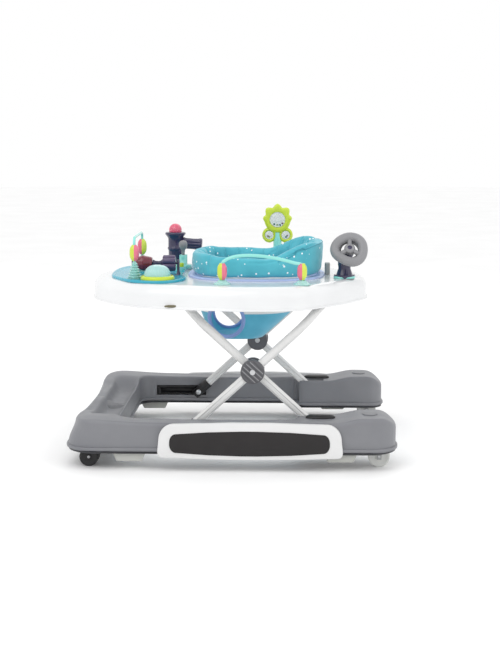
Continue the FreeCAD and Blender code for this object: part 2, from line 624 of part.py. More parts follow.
def tray_guides():
    """Two channels under the tray that hold the sliding shoes."""
    x0 = -BAR_REACH - SLIDER_TRAVEL * (ARM / LOWER_ARM) / 2 - SHOE_HALF_LENGTH - 22
    x1 = -BAR_REACH + SHOE_HALF_LENGTH + 3
    lip_z = -BAR_DROP + TUBE_R + 1.0
    channel = box(x0, x1, GUIDE_Y - SHOE_HEAD - 4, GUIDE_Y + SHOE_HEAD + 4, lip_z, CEILING)
    room = box(x0 + 3, x1 - 1.5, GUIDE_Y - SHOE_HEAD - FREE_CLEAR, GUIDE_Y + SHOE_HEAD + FREE_CLEAR,
               lip_z + 2.4, CEILING + 1)
    neck = box(x0 + 3, x1 - 1.5, GUIDE_Y - SHOE_HALF_WIDTH - FREE_CLEAR,
               GUIDE_Y + SHOE_HALF_WIDTH + FREE_CLEAR, lip_z - 1, CEILING)
    return pair(channel.cut([room, neck]))


def tray_shoes():
    """Shoes on the inner tube's top bar; their heads slide in the tray's channels."""
    lip_z = -BAR_DROP + TUBE_R + 1.0
    block = box(-BAR_REACH - SHOE_HALF_LENGTH, -BAR_REACH + SHOE_HALF_LENGTH, GUIDE_Y - SHOE_HALF_WIDTH,
                GUIDE_Y + SHOE_HALF_WIDTH, -BAR_DROP - TUBE_R - 4, lip_z + 3)
    head = box(-BAR_REACH - SHOE_HALF_LENGTH, -BAR_REACH + SHOE_HALF_LENGTH, GUIDE_Y - SHOE_HEAD,
               GUIDE_Y + SHOE_HEAD, lip_z + 2.4 + FREE_CLEAR, CEILING - FREE_CLEAR)
    shoe = block.fuse(head).cut(rod_y(TUBE_R + RUN_CLEAR, -BAR_REACH, -BAR_DROP, 0, 200))
    return pair(shoe)


def tray_pivot_clips():
    """Two clips under the tray that hold the outer tube's top bar."""
    clip = box(BAR_REACH - 15, BAR_REACH + 15, GUIDE_Y - 44, GUIDE_Y - 24, -BAR_DROP - TUBE_R - 4, CEILING)
    return pair(clip.cut(rod_y(TUBE_R + RUN_CLEAR, BAR_REACH, -BAR_DROP, 0, 200)))


# ================================================================ seat

RING_TOP = TRAY_TOP + SEAT_FLANGE_THICK
RING_FOOT = CEILING - 10.0
RING_BAND = 9.0


def seat_ring():
    """The flanged ring that carries the seat in the tray opening."""
    flange = slab(seat_plan(SEAT_FLANGE), TRAY_TOP, RING_TOP)
    sleeve = slab(seat_plan(-0.3), RING_FOOT, RING_TOP)
    return flange.fuse(sleeve).cut(slab(seat_plan(-RING_BAND), RING_FOOT - 1, RING_TOP + 1))


def pouch_form(inset, z_low):
    """The hanging seat's form between the ring and the bottom."""
    top = closed_spline([V(x, y, RING_FOOT) for x, y in seat_plan(-1.0 - inset)])
    low = closed_spline([V(x, y, z_low) for x, y in
                         seat_plan(-inset, SEAT_BOTTOM_HALF_LENGTH, SEAT_BOTTOM_HALF_WIDTH, SEAT_BOTTOM_X)])
    return Part.makeLoft([top, low], True, True)


def seat_pouch():
    """The fabric seat with a leg opening on each side."""
    pouch = pouch_form(0, SEAT_BOTTOM).cut(pouch_form(SEAT_FABRIC, SEAT_BOTTOM + SEAT_FABRIC))
    hole = Part.makeCylinder(1.0, 400, V(0, -200, 0), AXIS_Y)
    grow = FreeCAD.Matrix(LEG_HOLE_HALF_LENGTH, 0, 0, LEG_HOLE_X, 0, 1, 0, 0,
                          0, 0, LEG_HOLE_HALF_HEIGHT, LEG_HOLE_Z, 0, 0, 0, 1)
    return pouch.cut(hole.transformGeometry(grow))


def seat_rim_pad():
    """The padded rim that rises to a high back."""
    pad = slab(seat_plan(3.0), RING_TOP, PAD_BACK_TOP).cut(
        slab(seat_plan(3.0 - PAD_THICK), RING_TOP - 1, PAD_BACK_TOP + 1))
    x0 = SEAT_X - SEAT_HALF_LENGTH - 10
    cut_edge = [Part.makeLine(V(x0, -200, PAD_FRONT_TOP), V(x0 + 110, -200, PAD_FRONT_TOP - 6)),
                Part.Arc(V(x0 + 110, -200, PAD_FRONT_TOP - 6), V(x0 + 200, -200, PAD_FRONT_TOP + 2),
                         V(x0 + 278, -200, PAD_BACK_TOP)).toShape(),
                Part.makeLine(V(x0 + 278, -200, PAD_BACK_TOP), V(x0 + 278, -200, PAD_BACK_TOP + 9)),
                Part.makeLine(V(x0 + 278, -200, PAD_BACK_TOP + 9), V(x0, -200, PAD_BACK_TOP + 9)),
                Part.makeLine(V(x0, -200, PAD_BACK_TOP + 9), V(x0, -200, PAD_FRONT_TOP))]
    above = Part.Face(Part.Wire(cut_edge)).extrude(V(0, 400, 0))
    return pad.cut(above)


def seat_back_clip():
    x = SEAT_X + SEAT_HALF_LENGTH + SEAT_FLANGE + 1
    return rounded_box(x, x + 12, -13, 13, TRAY_TOP, TRAY_TOP + 27, 3.0)


# ================================================================ toys on the tray

DOME_X, DOME_Y = -214.5, -165.0
DOME_R = 29.5
DOME_TRAVEL = 5.0
RING_R = 37.0
PLATE_TOP_Z = TRAY_TOP + 4.0
LOOP_X = -268.5
LOOP_Y = (-140.0, 20.0)
LOOP_TOP = 96.0
WIRE_R = 3.0
LOOP_BEND_R = 15.0
LOOP_BEAD_Z = 62.0
BEAD_R, BEAD_HALF = 10.0, 18.0
ARCH_Y = -215.0
ARCH_X = (-67.5, 107.5)
ARCH_ROD_R = 3.75
ARCH_BEAD_Z = 29.0
ROLLER_X, ROLLER_Y, ROLLER_Z = -230.0, -58.0, 31.0
SHAFT_R = 3.0
SCOPE_X, SCOPE_Y = -201.5, 160.0
SCOPE_TOP = 82.0
BALL_R = 16.0
BALL_Z = 91.0
FLOWER_X, FLOWER_Y, FLOWER_Z = 49.5, 200.0, 114.0
FLOWER_R, FLOWER_WINDOW_R = 35.0, 18.5
FLOWER_THICK = 22.0
WHEEL_CENTRE = V(215.5, -104, 68)
WHEEL_AXIS = V(0, -0.82, 0.57).normalize()
WHEEL_RING_R, WHEEL_GRIP_R = 32.0, 7.5
CONSOLE_X, CONSOLE_Y = 205.5, -76.0
KNOB_X, KNOB_Y = -177.0, 92.0
SIDE_BUTTON_X, SIDE_BUTTON_Y = KNOB_X - 3.0, KNOB_Y - 46.0


def toy_plate():
    """The crescent plate at the front of the tray that carries the toys."""
    half = [(-330.5, 60), (-308.5, 125), (-268.5, 186), (-211.5, 207), (-174.5, 184), (-154.5, 130),
            (-164.5, 60)]
    plan = [(x, -y) for x, y in half] + [(x, y) for x, y in reversed(half)]
    plate = slab(plan, TRAY_TOP, PLATE_TOP_Z)
    return plate.cut(slab(seat_plan(SEAT_FLANGE + 2), TRAY_TOP - 1, PLATE_TOP_Z + 1))


def dome_ring():
    ring = rod_z(RING_R, DOME_X, DOME_Y, PLATE_TOP_Z, PLATE_TOP_Z + 10)
    ring = ring.makeFillet(3.0, [e for e in level_edges(ring, PLATE_TOP_Z + 10, PLATE_TOP_Z + 10)])
    return ring.cut(rod_z(DOME_R + FREE_CLEAR, DOME_X, DOME_Y, PLATE_TOP_Z - 1, PLATE_TOP_Z + 11))


def dome_button():
    """A domed push button that sits in its ring."""
    foot = PLATE_TOP_Z + DOME_TRAVEL + 1
    rise = 22.0
    ball_r = (DOME_R ** 2 + rise ** 2) / (2 * rise)
    cap = Part.makeSphere(ball_r, V(DOME_X, DOME_Y, foot + 6 + rise - ball_r))
    cap = cap.common(rod_z(DOME_R, DOME_X, DOME_Y, foot + 6, foot + 60))
    return cap.fuse(rod_z(DOME_R, DOME_X, DOME_Y, foot, foot + 6)).removeSplitter()


def bead_loop():
    """A bent wire with a ribbed spring-like foot at each end."""
    y0, y1 = LOOP_Y
    wire = round_rod([V(LOOP_X, y0, PLATE_TOP_Z + 8), V(LOOP_X, y0, LOOP_TOP), V(LOOP_X, y1, LOOP_TOP),
                      V(LOOP_X, y1, PLATE_TOP_Z + 8)], WIRE_R, LOOP_BEND_R)
    feet = []
    for y in LOOP_Y:
        ribs = [(0, PLATE_TOP_Z)]
        for k in range(6):
            z, r = PLATE_TOP_Z + 6.2 * k, 15.0 - 1.5 * k
            ribs += [(r, z), (r, z + 3.4), (r - 2.0, z + 3.4), (r - 2.0, z + 6.2)]
        ribs.append((0, PLATE_TOP_Z + 6.2 * 6))
        feet.append(turned(ribs, (LOOP_X, y)))
    return wire.fuse(feet)


def bead(x, y, z, wire_r):
    """A long rounded bead with a bore along its length."""
    solid = ellipsoid((x, y, z), BEAD_R + 1, BEAD_R + 1, BEAD_HALF + 5)
    solid = solid.common(rod_z(BEAD_R + 3, x, y, z - BEAD_HALF, z + BEAD_HALF))
    return solid.cut(rod_z(wire_r + RUN_CLEAR, x, y, z - 40, z + 40))


def side_arch():
    """A sloping rod over the side of the tray, with a round foot at each end."""
    x0, x1 = ARCH_X
    rod = round_rod([V(x0, ARCH_Y, TRAY_TOP + 4), V(x0, ARCH_Y, TRAY_TOP + 62), V(x1, ARCH_Y, TRAY_TOP + 54),
                     V(x1, ARCH_Y, TRAY_TOP + 4)], ARCH_ROD_R, 8.0)
    feet = [turned([(0, TRAY_TOP), (18, TRAY_TOP), (18, TRAY_TOP + 3), (11, TRAY_TOP + 9),
                    (0, TRAY_TOP + 9)], (x, ARCH_Y)) for x in ARCH_X]
    return rod.fuse(feet)


def roller_posts():
    """Two posts and the fixed shaft of the rolling toy."""
    posts = []
    for x in (ROLLER_X - 54.5, ROLLER_X + 50.5):
        post = rounded_box(x, x + 6, ROLLER_Y - 8, ROLLER_Y + 8, PLATE_TOP_Z, ROLLER_Z + 8, 2.5)
        posts.append(post)
    shaft = Part.makeCylinder(SHAFT_R, 107, V(ROLLER_X - 51.5, ROLLER_Y, ROLLER_Z), AXIS_X)
    return shaft.fuse(posts)


def roller_bore():
    start = V(ROLLER_X - 120, ROLLER_Y, ROLLER_Z)
    return Part.makeCylinder(SHAFT_R + RUN_CLEAR, 240, start, AXIS_X)


def roller_drum():
    drum = Part.makeCone(12, 18, 18, V(ROLLER_X - 46.5, ROLLER_Y, ROLLER_Z), AXIS_X)
    drum = drum.fuse(Part.makeCone(18, 12, 22, V(ROLLER_X - 28.5, ROLLER_Y, ROLLER_Z), AXIS_X))
    return drum.cut(roller_bore())


def roller_gear():
    """A thick wheel with six rounded lobes."""
    core = Part.makeCylinder(13, 30, V(ROLLER_X + 17.5, ROLLER_Y, ROLLER_Z), AXIS_X)
    lobes = []
    for k in range(6):
        angle = math.radians(60 * k)
        at = V(ROLLER_X + 17.5, ROLLER_Y + 12.5 * math.cos(angle), ROLLER_Z + 12.5 * math.sin(angle))
        lobes.append(Part.makeCylinder(6.0, 30, at, AXIS_X))
    gear = core.fuse(lobes)
    return gear.cut(roller_bore())


def periscope():
    """A flared post with a fluted side arm; it is the socket of the ball."""
    post = turned([(0, PLATE_TOP_Z), (22, PLATE_TOP_Z), (19, PLATE_TOP_Z + 6), (17, SCOPE_TOP - 26),
                   (19, SCOPE_TOP - 8), (24, SCOPE_TOP), (24, SCOPE_TOP + 4), (0, SCOPE_TOP + 4)],
                  (SCOPE_X, SCOPE_Y))
    arm = Part.makeCylinder(11, 66, V(SCOPE_X, SCOPE_Y, SCOPE_TOP - 19), AXIS_X)
    flutes = [Part.makeCylinder(2.2, 70, V(SCOPE_X + 22, SCOPE_Y + 12 * math.cos(math.radians(a)),
                                           SCOPE_TOP - 19 + 12 * math.sin(math.radians(a))), AXIS_X)
              for a in range(0, 360, 45)]
    cup = Part.makeSphere(BALL_R + 0.3, V(SCOPE_X, SCOPE_Y, BALL_Z))
    return post.fuse(arm).cut(flutes + [cup])


def scope_ball():
    return Part.makeSphere(BALL_R, V(SCOPE_X, SCOPE_Y, BALL_Z))


def lever_mount():
    """A round foot with a fork for the swinging lever, and a collar for the small button."""
    foot = rod_z(20.0, KNOB_X, KNOB_Y, PLATE_TOP_Z, PLATE_TOP_Z + 9)
    cheeks = [box(KNOB_X - 9, KNOB_X + 9, KNOB_Y + y, KNOB_Y + y + 4, PLATE_TOP_Z + 8, PLATE_TOP_Z + 32)
              for y in (-9, 5)]
    pin = rod_y(2.5, KNOB_X, PLATE_TOP_Z + 25, KNOB_Y - 9, KNOB_Y + 9)
    return Part.makeCompound([foot.fuse(cheeks + [pin]), side_button_ring()])


def lever_knob():
    """A lever with a ball end that swings in its fork."""
    z = PLATE_TOP_Z + 25
    hub = rod_y(7.0, KNOB_X, z, KNOB_Y - 4.6, KNOB_Y + 4.6)
    stick = rod_z(3.6, KNOB_X, KNOB_Y, z, z + 26)
    knob = Part.makeSphere(10.0, V(KNOB_X, KNOB_Y, z + 32))
    return hub.fuse([stick, knob]).cut(rod_y(2.5 + RUN_CLEAR, KNOB_X, z, KNOB_Y - 20, KNOB_Y + 20))


def side_button():
    """A small push button in front of the lever."""
    return rod_z(8.0, SIDE_BUTTON_X, SIDE_BUTTON_Y, PLATE_TOP_Z + 5, PLATE_TOP_Z + 17)


def side_button_ring():
    ring = rod_z(12.0, SIDE_BUTTON_X, SIDE_BUTTON_Y, PLATE_TOP_Z, PLATE_TOP_Z + 8)
    return ring.cut(rod_z(8.0 + FREE_CLEAR, SIDE_BUTTON_X, SIDE_BUTTON_Y, PLATE_TOP_Z - 1, PLATE_TOP_Z + 9))


STEM_TOP = 64.0
STEM_R = 5.0


def flower_stem():
    stem = turned([(0, TRAY_TOP), (17, TRAY_TOP), (17, TRAY_TOP + 3), (9, TRAY_TOP + 10),
                   (STEM_R, TRAY_TOP + 14), (STEM_R, STEM_TOP), (0, STEM_TOP)], (FLOWER_X, FLOWER_Y))
    return stem


def flower_rattle():
    """A ring flower with petals on top and two leaves below."""
    y0, y1 = FLOWER_Y - FLOWER_THICK / 2, FLOWER_Y + FLOWER_THICK / 2
    head = rod_y(FLOWER_R, FLOWER_X, FLOWER_Z, y0, y1)
    petals = [rod_y(11, FLOWER_X + 29 * math.sin(math.radians(a)),
                    FLOWER_Z + 29 * math.cos(math.radians(a)), y0, y1) for a in (-42, 0, 42)]
    leaves = [rod_y(17, FLOWER_X + x, FLOWER_Z - 36, y0 + 2, y1 - 2) for x in (-24, 24)]
    neck = rod_z(10.5, FLOWER_X, FLOWER_Y, STEM_TOP - 22, FLOWER_Z - 20)
    flower = head.fuse(petals + leaves + [neck])
    holes = [rod_y(FLOWER_WINDOW_R, FLOWER_X, FLOWER_Z, y0 - 1, y1 + 1),
             rod_z(STEM_R + RUN_CLEAR, FLOWER_X, FLOWER_Y, STEM_TOP - 30, STEM_TOP + 0.5)]
    holes += [rod_y(9, FLOWER_X + x, FLOWER_Z - 36, y0 - 1, y1 + 1) for x in (-25, 25)]
    return flower.cut(holes)


def flower_windows():
    """The clear capsules in the flower's three round openings."""
    y0, y1 = FLOWER_Y - FLOWER_THICK / 2 + 1.5, FLOWER_Y + FLOWER_THICK / 2 - 1.5
    main = rod_y(FLOWER_WINDOW_R, FLOWER_X, FLOWER_Z, y0, y1)
    leaves = [rod_y(9, FLOWER_X + x, FLOWER_Z - 36, y0 + 2, y1 - 2) for x in (-25, 25)]
    return Part.makeCompound([main] + leaves)


def steering_console():
    """The foot, post and hub shaft of the toy steering wheel."""
    foot = rod_z(24.0, CONSOLE_X, CONSOLE_Y, TRAY_TOP, TRAY_TOP + 8)
    post = turned([(0, TRAY_TOP + 7), (19, TRAY_TOP + 7), (14, TRAY_TOP + 22), (16, TRAY_TOP + 46),
                   (0, TRAY_TOP + 52)], (CONSOLE_X, CONSOLE_Y))
    inner = WHEEL_CENTRE - WHEEL_AXIS * 12
    arm = round_rod_straight(V(CONSOLE_X, CONSOLE_Y, TRAY_TOP + 34), inner, 11.0)
    shaft = Part.makeCylinder(5.0, 26, WHEEL_CENTRE - WHEEL_AXIS * 18, WHEEL_AXIS)
    return foot.fuse([post, arm]).cut(
        Part.makeCylinder(40, 60, WHEEL_CENTRE - WHEEL_AXIS * 9, WHEEL_AXIS)).fuse(shaft)


def steering_wheel():
    """A thick ring with three spokes and a hub."""
    across = V(1, 0, 0)
    ring = torus(WHEEL_CENTRE, WHEEL_RING_R, WHEEL_GRIP_R, WHEEL_AXIS)
    hub = Part.makeCylinder(12.0, 15, WHEEL_CENTRE - WHEEL_AXIS * 7, WHEEL_AXIS)
    spokes = []
    for a in (0, 120, 240):
        spoke = Part.makeCylinder(5.0, WHEEL_RING_R, WHEEL_CENTRE, across)
        spoke.rotate(WHEEL_CENTRE, WHEEL_AXIS, 90 + a)
        spokes.append(spoke)
    wheel = ring.fuse([hub] + spokes)
    return wheel.cut(Part.makeCylinder(5.0 + RUN_CLEAR, 60, WHEEL_CENTRE - WHEEL_AXIS * 30, WHEEL_AXIS))


def console_key():
    """A star-headed key on the far side of the console that can be turned."""
    at = V(CONSOLE_X + 13, CONSOLE_Y + 24, TRAY_TOP + 28)
    stem = rod_y(4.0, at.x - 13, at.z, CONSOLE_Y + 14.8, at.y + 4)
    arms = []
    for a in (0, 60, 120):
        arm = box(at.x - 13 - 14, at.x - 13 + 14, at.y + 3, at.y + 9, at.z - 4, at.z + 4)
        arm.rotate(V(at.x - 13, at.y, at.z), AXIS_Y, a)
        arms.append(arm)
    return stem.fuse(arms)


BASE_NODES = {
    "base_upper_shell": base_upper_shell, "base_bottom_cover": base_bottom_cover,
    "foot_plates": foot_plates, "foot_grips": foot_grips, "friction_pads": friction_pads,
    "height_racks": height_racks, "frame_pivot_pins": frame_pivot_pins,
    "housing_levers": housing_levers, "base_trim": base_trim,
    "rear_wheel_brackets": rear_wheel_brackets, "rear_axles": rear_axles,
    "rear_wheel_right": rear_wheel, "rear_wheel_left": lambda: mirrored(rear_wheel()),
    "caster_fork_right": caster_fork, "caster_fork_left": lambda: mirrored(caster_fork()),
    "caster_axle_right": caster_axle, "caster_axle_left": lambda: mirrored(caster_axle()),
    "caster_wheel_right": caster_wheel, "caster_wheel_left": lambda: mirrored(caster_wheel()),
    "frame_a_tube": frame_a_tube, "inner_covers": inner_covers, "scissor_bolts": scissor_bolts,
    "scissor_spacers": scissor_spacers,
    "frame_b_tube": frame_b_tube, "outer_covers": outer_covers, "end_fittings": end_fittings,
    "slider_pins": slider_pins,
    "slot_slider_right": slot_slider, "slot_slider_left": lambda: mirrored(slot_slider()),
}

# these are drawn in the tray's own frame
TRAY_NODES = {
    "tray_shoes": tray_shoes,
    "tray_shell": tray_shell, "tray_guides": tray_guides, "tray_pivot_clips": tray_pivot_clips,
    "seat_ring": seat_ring, "seat_pouch": seat_pouch, "seat_rim_pad": seat_rim_pad,
    "seat_back_clip": seat_back_clip,
    "toy_plate": toy_plate, "dome_ring": dome_ring, "dome_button": dome_button,
    "bead_loop": bead_loop,
    "loop_bead_left": lambda: bead(LOOP_X, LOOP_Y[0], LOOP_BEAD_Z, WIRE_R),
    "loop_bead_right": lambda: bead(LOOP_X, LOOP_Y[1], LOOP_BEAD_Z, WIRE_R),
    "side_arch": side_arch,
    "arch_bead_front": lambda: bead(ARCH_X[0], ARCH_Y, ARCH_BEAD_Z, ARCH_ROD_R),
    "arch_bead_back": lambda: bead(ARCH_X[1], ARCH_Y, ARCH_BEAD_Z, ARCH_ROD_R),
    "roller_posts": roller_posts, "roller_drum": roller_drum, "roller_gear": roller_gear,
    "periscope": periscope, "scope_ball": scope_ball,
    "lever_mount": lever_mount, "lever_knob": lever_knob,
    "side_button": side_button,
    "flower_stem": flower_stem, "flower_rattle": flower_rattle, "flower_windows": flower_windows,
    "steering_console": steering_console, "steering_wheel": steering_wheel, "console_key": console_key,
}


def main():
    os.makedirs("parts", exist_ok=True)
    to_tray = V(CROSS_X, 0, BAR_Z + BAR_DROP)
    for name, make in BASE_NODES.items():
        make().exportStep("parts/%s.step" % name)
    for name, make in TRAY_NODES.items():
        make().translated(to_tray).exportStep("parts/%s.step" % name)



main()
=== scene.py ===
"""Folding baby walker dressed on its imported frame: shells, fabric seat, toys, finishes, light and camera."""
from __future__ import annotations

import json
import logging
import math
from dataclasses import dataclass
from enum import Enum
from typing import Any, Callable, Sequence

import bmesh
import bpy
from mathutils import Matrix, Vector, noise

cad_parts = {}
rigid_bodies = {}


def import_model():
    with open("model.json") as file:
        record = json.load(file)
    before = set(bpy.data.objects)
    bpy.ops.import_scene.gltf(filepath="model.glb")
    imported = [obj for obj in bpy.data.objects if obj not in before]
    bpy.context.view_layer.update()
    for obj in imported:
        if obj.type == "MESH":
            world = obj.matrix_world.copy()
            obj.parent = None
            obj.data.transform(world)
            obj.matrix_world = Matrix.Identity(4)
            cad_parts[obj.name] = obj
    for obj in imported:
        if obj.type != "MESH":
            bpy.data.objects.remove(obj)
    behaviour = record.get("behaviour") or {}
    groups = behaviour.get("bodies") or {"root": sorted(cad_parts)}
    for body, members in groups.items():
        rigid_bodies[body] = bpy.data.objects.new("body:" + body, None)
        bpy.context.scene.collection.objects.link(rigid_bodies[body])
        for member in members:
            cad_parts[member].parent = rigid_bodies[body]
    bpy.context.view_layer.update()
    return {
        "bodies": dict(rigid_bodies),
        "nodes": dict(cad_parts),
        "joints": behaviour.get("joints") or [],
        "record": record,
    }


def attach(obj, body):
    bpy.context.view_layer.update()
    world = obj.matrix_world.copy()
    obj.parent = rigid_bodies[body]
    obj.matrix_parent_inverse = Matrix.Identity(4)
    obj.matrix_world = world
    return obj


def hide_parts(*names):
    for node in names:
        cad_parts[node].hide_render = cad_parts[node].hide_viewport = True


LOG = logging.getLogger("walker")
MM = 0.001
FULL_TURN = 2 * math.pi


# ------------------------------------------------------------------ colour and node helpers

def linear(hex_colour: str) -> tuple[float, float, float, float]:
    """Turn an sRGB hex colour into linear RGBA.

    Args:
        hex_colour: six hex digits, such as "77787d".

    Returns:
        The linear colour with an alpha of 1.
    """
    parts = [int(hex_colour[k:k + 2], 16) / 255 for k in (0, 2, 4)]
    red, green, blue = [c / 12.92 if c <= 0.04045 else ((c + 0.055) / 1.055) ** 2.4 for c in parts]
    return red, green, blue, 1.0


def add_node(tree: bpy.types.NodeTree, kind: str, settings: dict[str, Any] | None = None,
             links: dict[Any, bpy.types.NodeSocket] | None = None) -> bpy.types.Node:
    """Add a shader node with its settings and incoming links.

    Args:
        tree: the material's node tree.
        kind: the node's type name.
        settings: attributes by name, and socket values by "in:NAME" or by socket number.
        links: source sockets by input name or number.

    Returns:
        The new node.
    """
    node = tree.nodes.new(kind)
    for key, value in (settings or {}).items():
        if isinstance(key, int):
            node.inputs[key].default_value = value
        elif key.startswith("in:"):
            node.inputs[key[3:]].default_value = value
        else:
            setattr(node, key, value)
    for key, source in (links or {}).items():
        tree.links.new(source, node.inputs[key])
    return node


def ramp(node: bpy.types.Node, stops: Sequence[tuple[float, str]]) -> None:
    """Set the colour stops of a ramp node from (place, hex) pairs."""
    elements = node.color_ramp.elements
    while len(elements) < len(stops):
        elements.new(0.5)
    for element, (place, colour) in zip(elements, stops):
        element.position = place
        element.color = linear(colour)


# ------------------------------------------------------------------ finishes

@dataclass(frozen=True)
class Moulded:
    """Injection-moulded plastic: an even colour with faint flow clouds, spark-eroded grain and handling haze.

    grain_mm is the size of the mould texture; the real one is about 0.3 mm and is drawn coarser so it shows.
    """

    name: str
    colour: str
    shade: str
    roughness: float = 0.35
    haze: float = 0.08
    grain_mm: float = 1.2
    grain: float = 0.04
    cloud_mm: float = 90.0
    coat: float = 0.0
    ior: float = 1.5
    clear: float = 0.0

    def build(self) -> bpy.types.Material:
        """Make the material."""
        material = bpy.data.materials.new(self.name)
        material.use_nodes = True
        tree = material.node_tree
        shader = tree.nodes["Principled BSDF"]
        shader.inputs["IOR"].default_value = self.ior
        shader.inputs["Coat Weight"].default_value = self.coat
        shader.inputs["Coat Roughness"].default_value = 0.06
        shader.inputs["Transmission Weight"].default_value = self.clear
        place = add_node(tree, "ShaderNodeTexCoord").outputs["Object"]
        clouds = add_node(tree, "ShaderNodeTexNoise",
                          {"in:Scale": 1 / (self.cloud_mm * MM), "in:Detail": 3.0}, {"Vector": place})
        tint = add_node(tree, "ShaderNodeValToRGB", links={"Fac": clouds.outputs["Fac"]})
        ramp(tint, ((0.3, self.shade), (0.7, self.colour)))
        tree.links.new(self.paint(tree, place, tint.outputs["Color"]), shader.inputs["Base Color"])
        smears = add_node(tree, "ShaderNodeTexNoise",
                          {"in:Scale": 3.3 / (self.cloud_mm * MM), "in:Detail": 5.0}, {"Vector": place})
        rough = add_node(tree, "ShaderNodeMapRange",
                         {"in:To Min": self.roughness - self.haze / 2,
                          "in:To Max": self.roughness + self.haze},
                         {"Value": smears.outputs["Fac"]})
        tree.links.new(rough.outputs["Result"], shader.inputs["Roughness"])
        grit = add_node(tree, "ShaderNodeTexNoise",
                        {"in:Scale": 1 / (self.grain_mm * MM), "in:Detail": 2.0}, {"Vector": place})
        bump = add_node(tree, "ShaderNodeBump", {"in:Strength": self.grain, "in:Distance": 0.3 * MM},
                        {"Height": grit.outputs["Fac"]})
        tree.links.new(bump.outputs["Normal"], shader.inputs["Normal"])
        return material

    def paint(self, tree: bpy.types.NodeTree, place: bpy.types.NodeSocket,
              base: bpy.types.NodeSocket) -> bpy.types.NodeSocket:
        """Lay a pattern over the base colour; plain mouldings have none."""
        return base


@dataclass(frozen=True)
class TwoShot(Moulded):
    """Two-shot plastic: the part is one colour up to a flat joint and another colour past it."""

    second: str = "e0708a"
    joint_x: float = 0.0

    def paint(self, tree: bpy.types.NodeTree, place: bpy.types.NodeSocket,
              base: bpy.types.NodeSocket) -> bpy.types.NodeSocket:
        """Change colour across the joint plane at joint_x, in metres."""
        axes = add_node(tree, "ShaderNodeSeparateXYZ", links={0: place})
        side = add_node(tree, "ShaderNodeMapRange",
                        {"in:From Min": self.joint_x - 0.2 * MM, "in:From Max": self.joint_x + 0.2 * MM},
                        {"Value": axes.outputs["X"]})
        mix = add_node(tree, "ShaderNodeMix", {"data_type": "RGBA", 7: linear(self.second)},
                       {0: side.outputs["Result"], 6: base})
        return mix.outputs[2]


@dataclass(frozen=True)
class Speckled(Moulded):
    """Glossy plastic with pale glitter flakes just under the skin."""

    flake_mm: float = 3.2

    def paint(self, tree: bpy.types.NodeTree, place: bpy.types.NodeSocket,
              base: bpy.types.NodeSocket) -> bpy.types.NodeSocket:
        """Scatter small pale flakes over the base colour."""
        cells = add_node(tree, "ShaderNodeTexVoronoi", {"in:Scale": 1 / (self.flake_mm * MM)},
                         {"Vector": place})
        inside = add_node(tree, "ShaderNodeMapRange", {"in:From Min": 0.26, "in:From Max": 0.16},
                          {"Value": cells.outputs["Distance"]})
        mix = add_node(tree, "ShaderNodeMix", {"data_type": "RGBA", 7: linear("f6b9c4")},
                       {0: inside.outputs["Result"], 6: base})
        return mix.outputs[2]


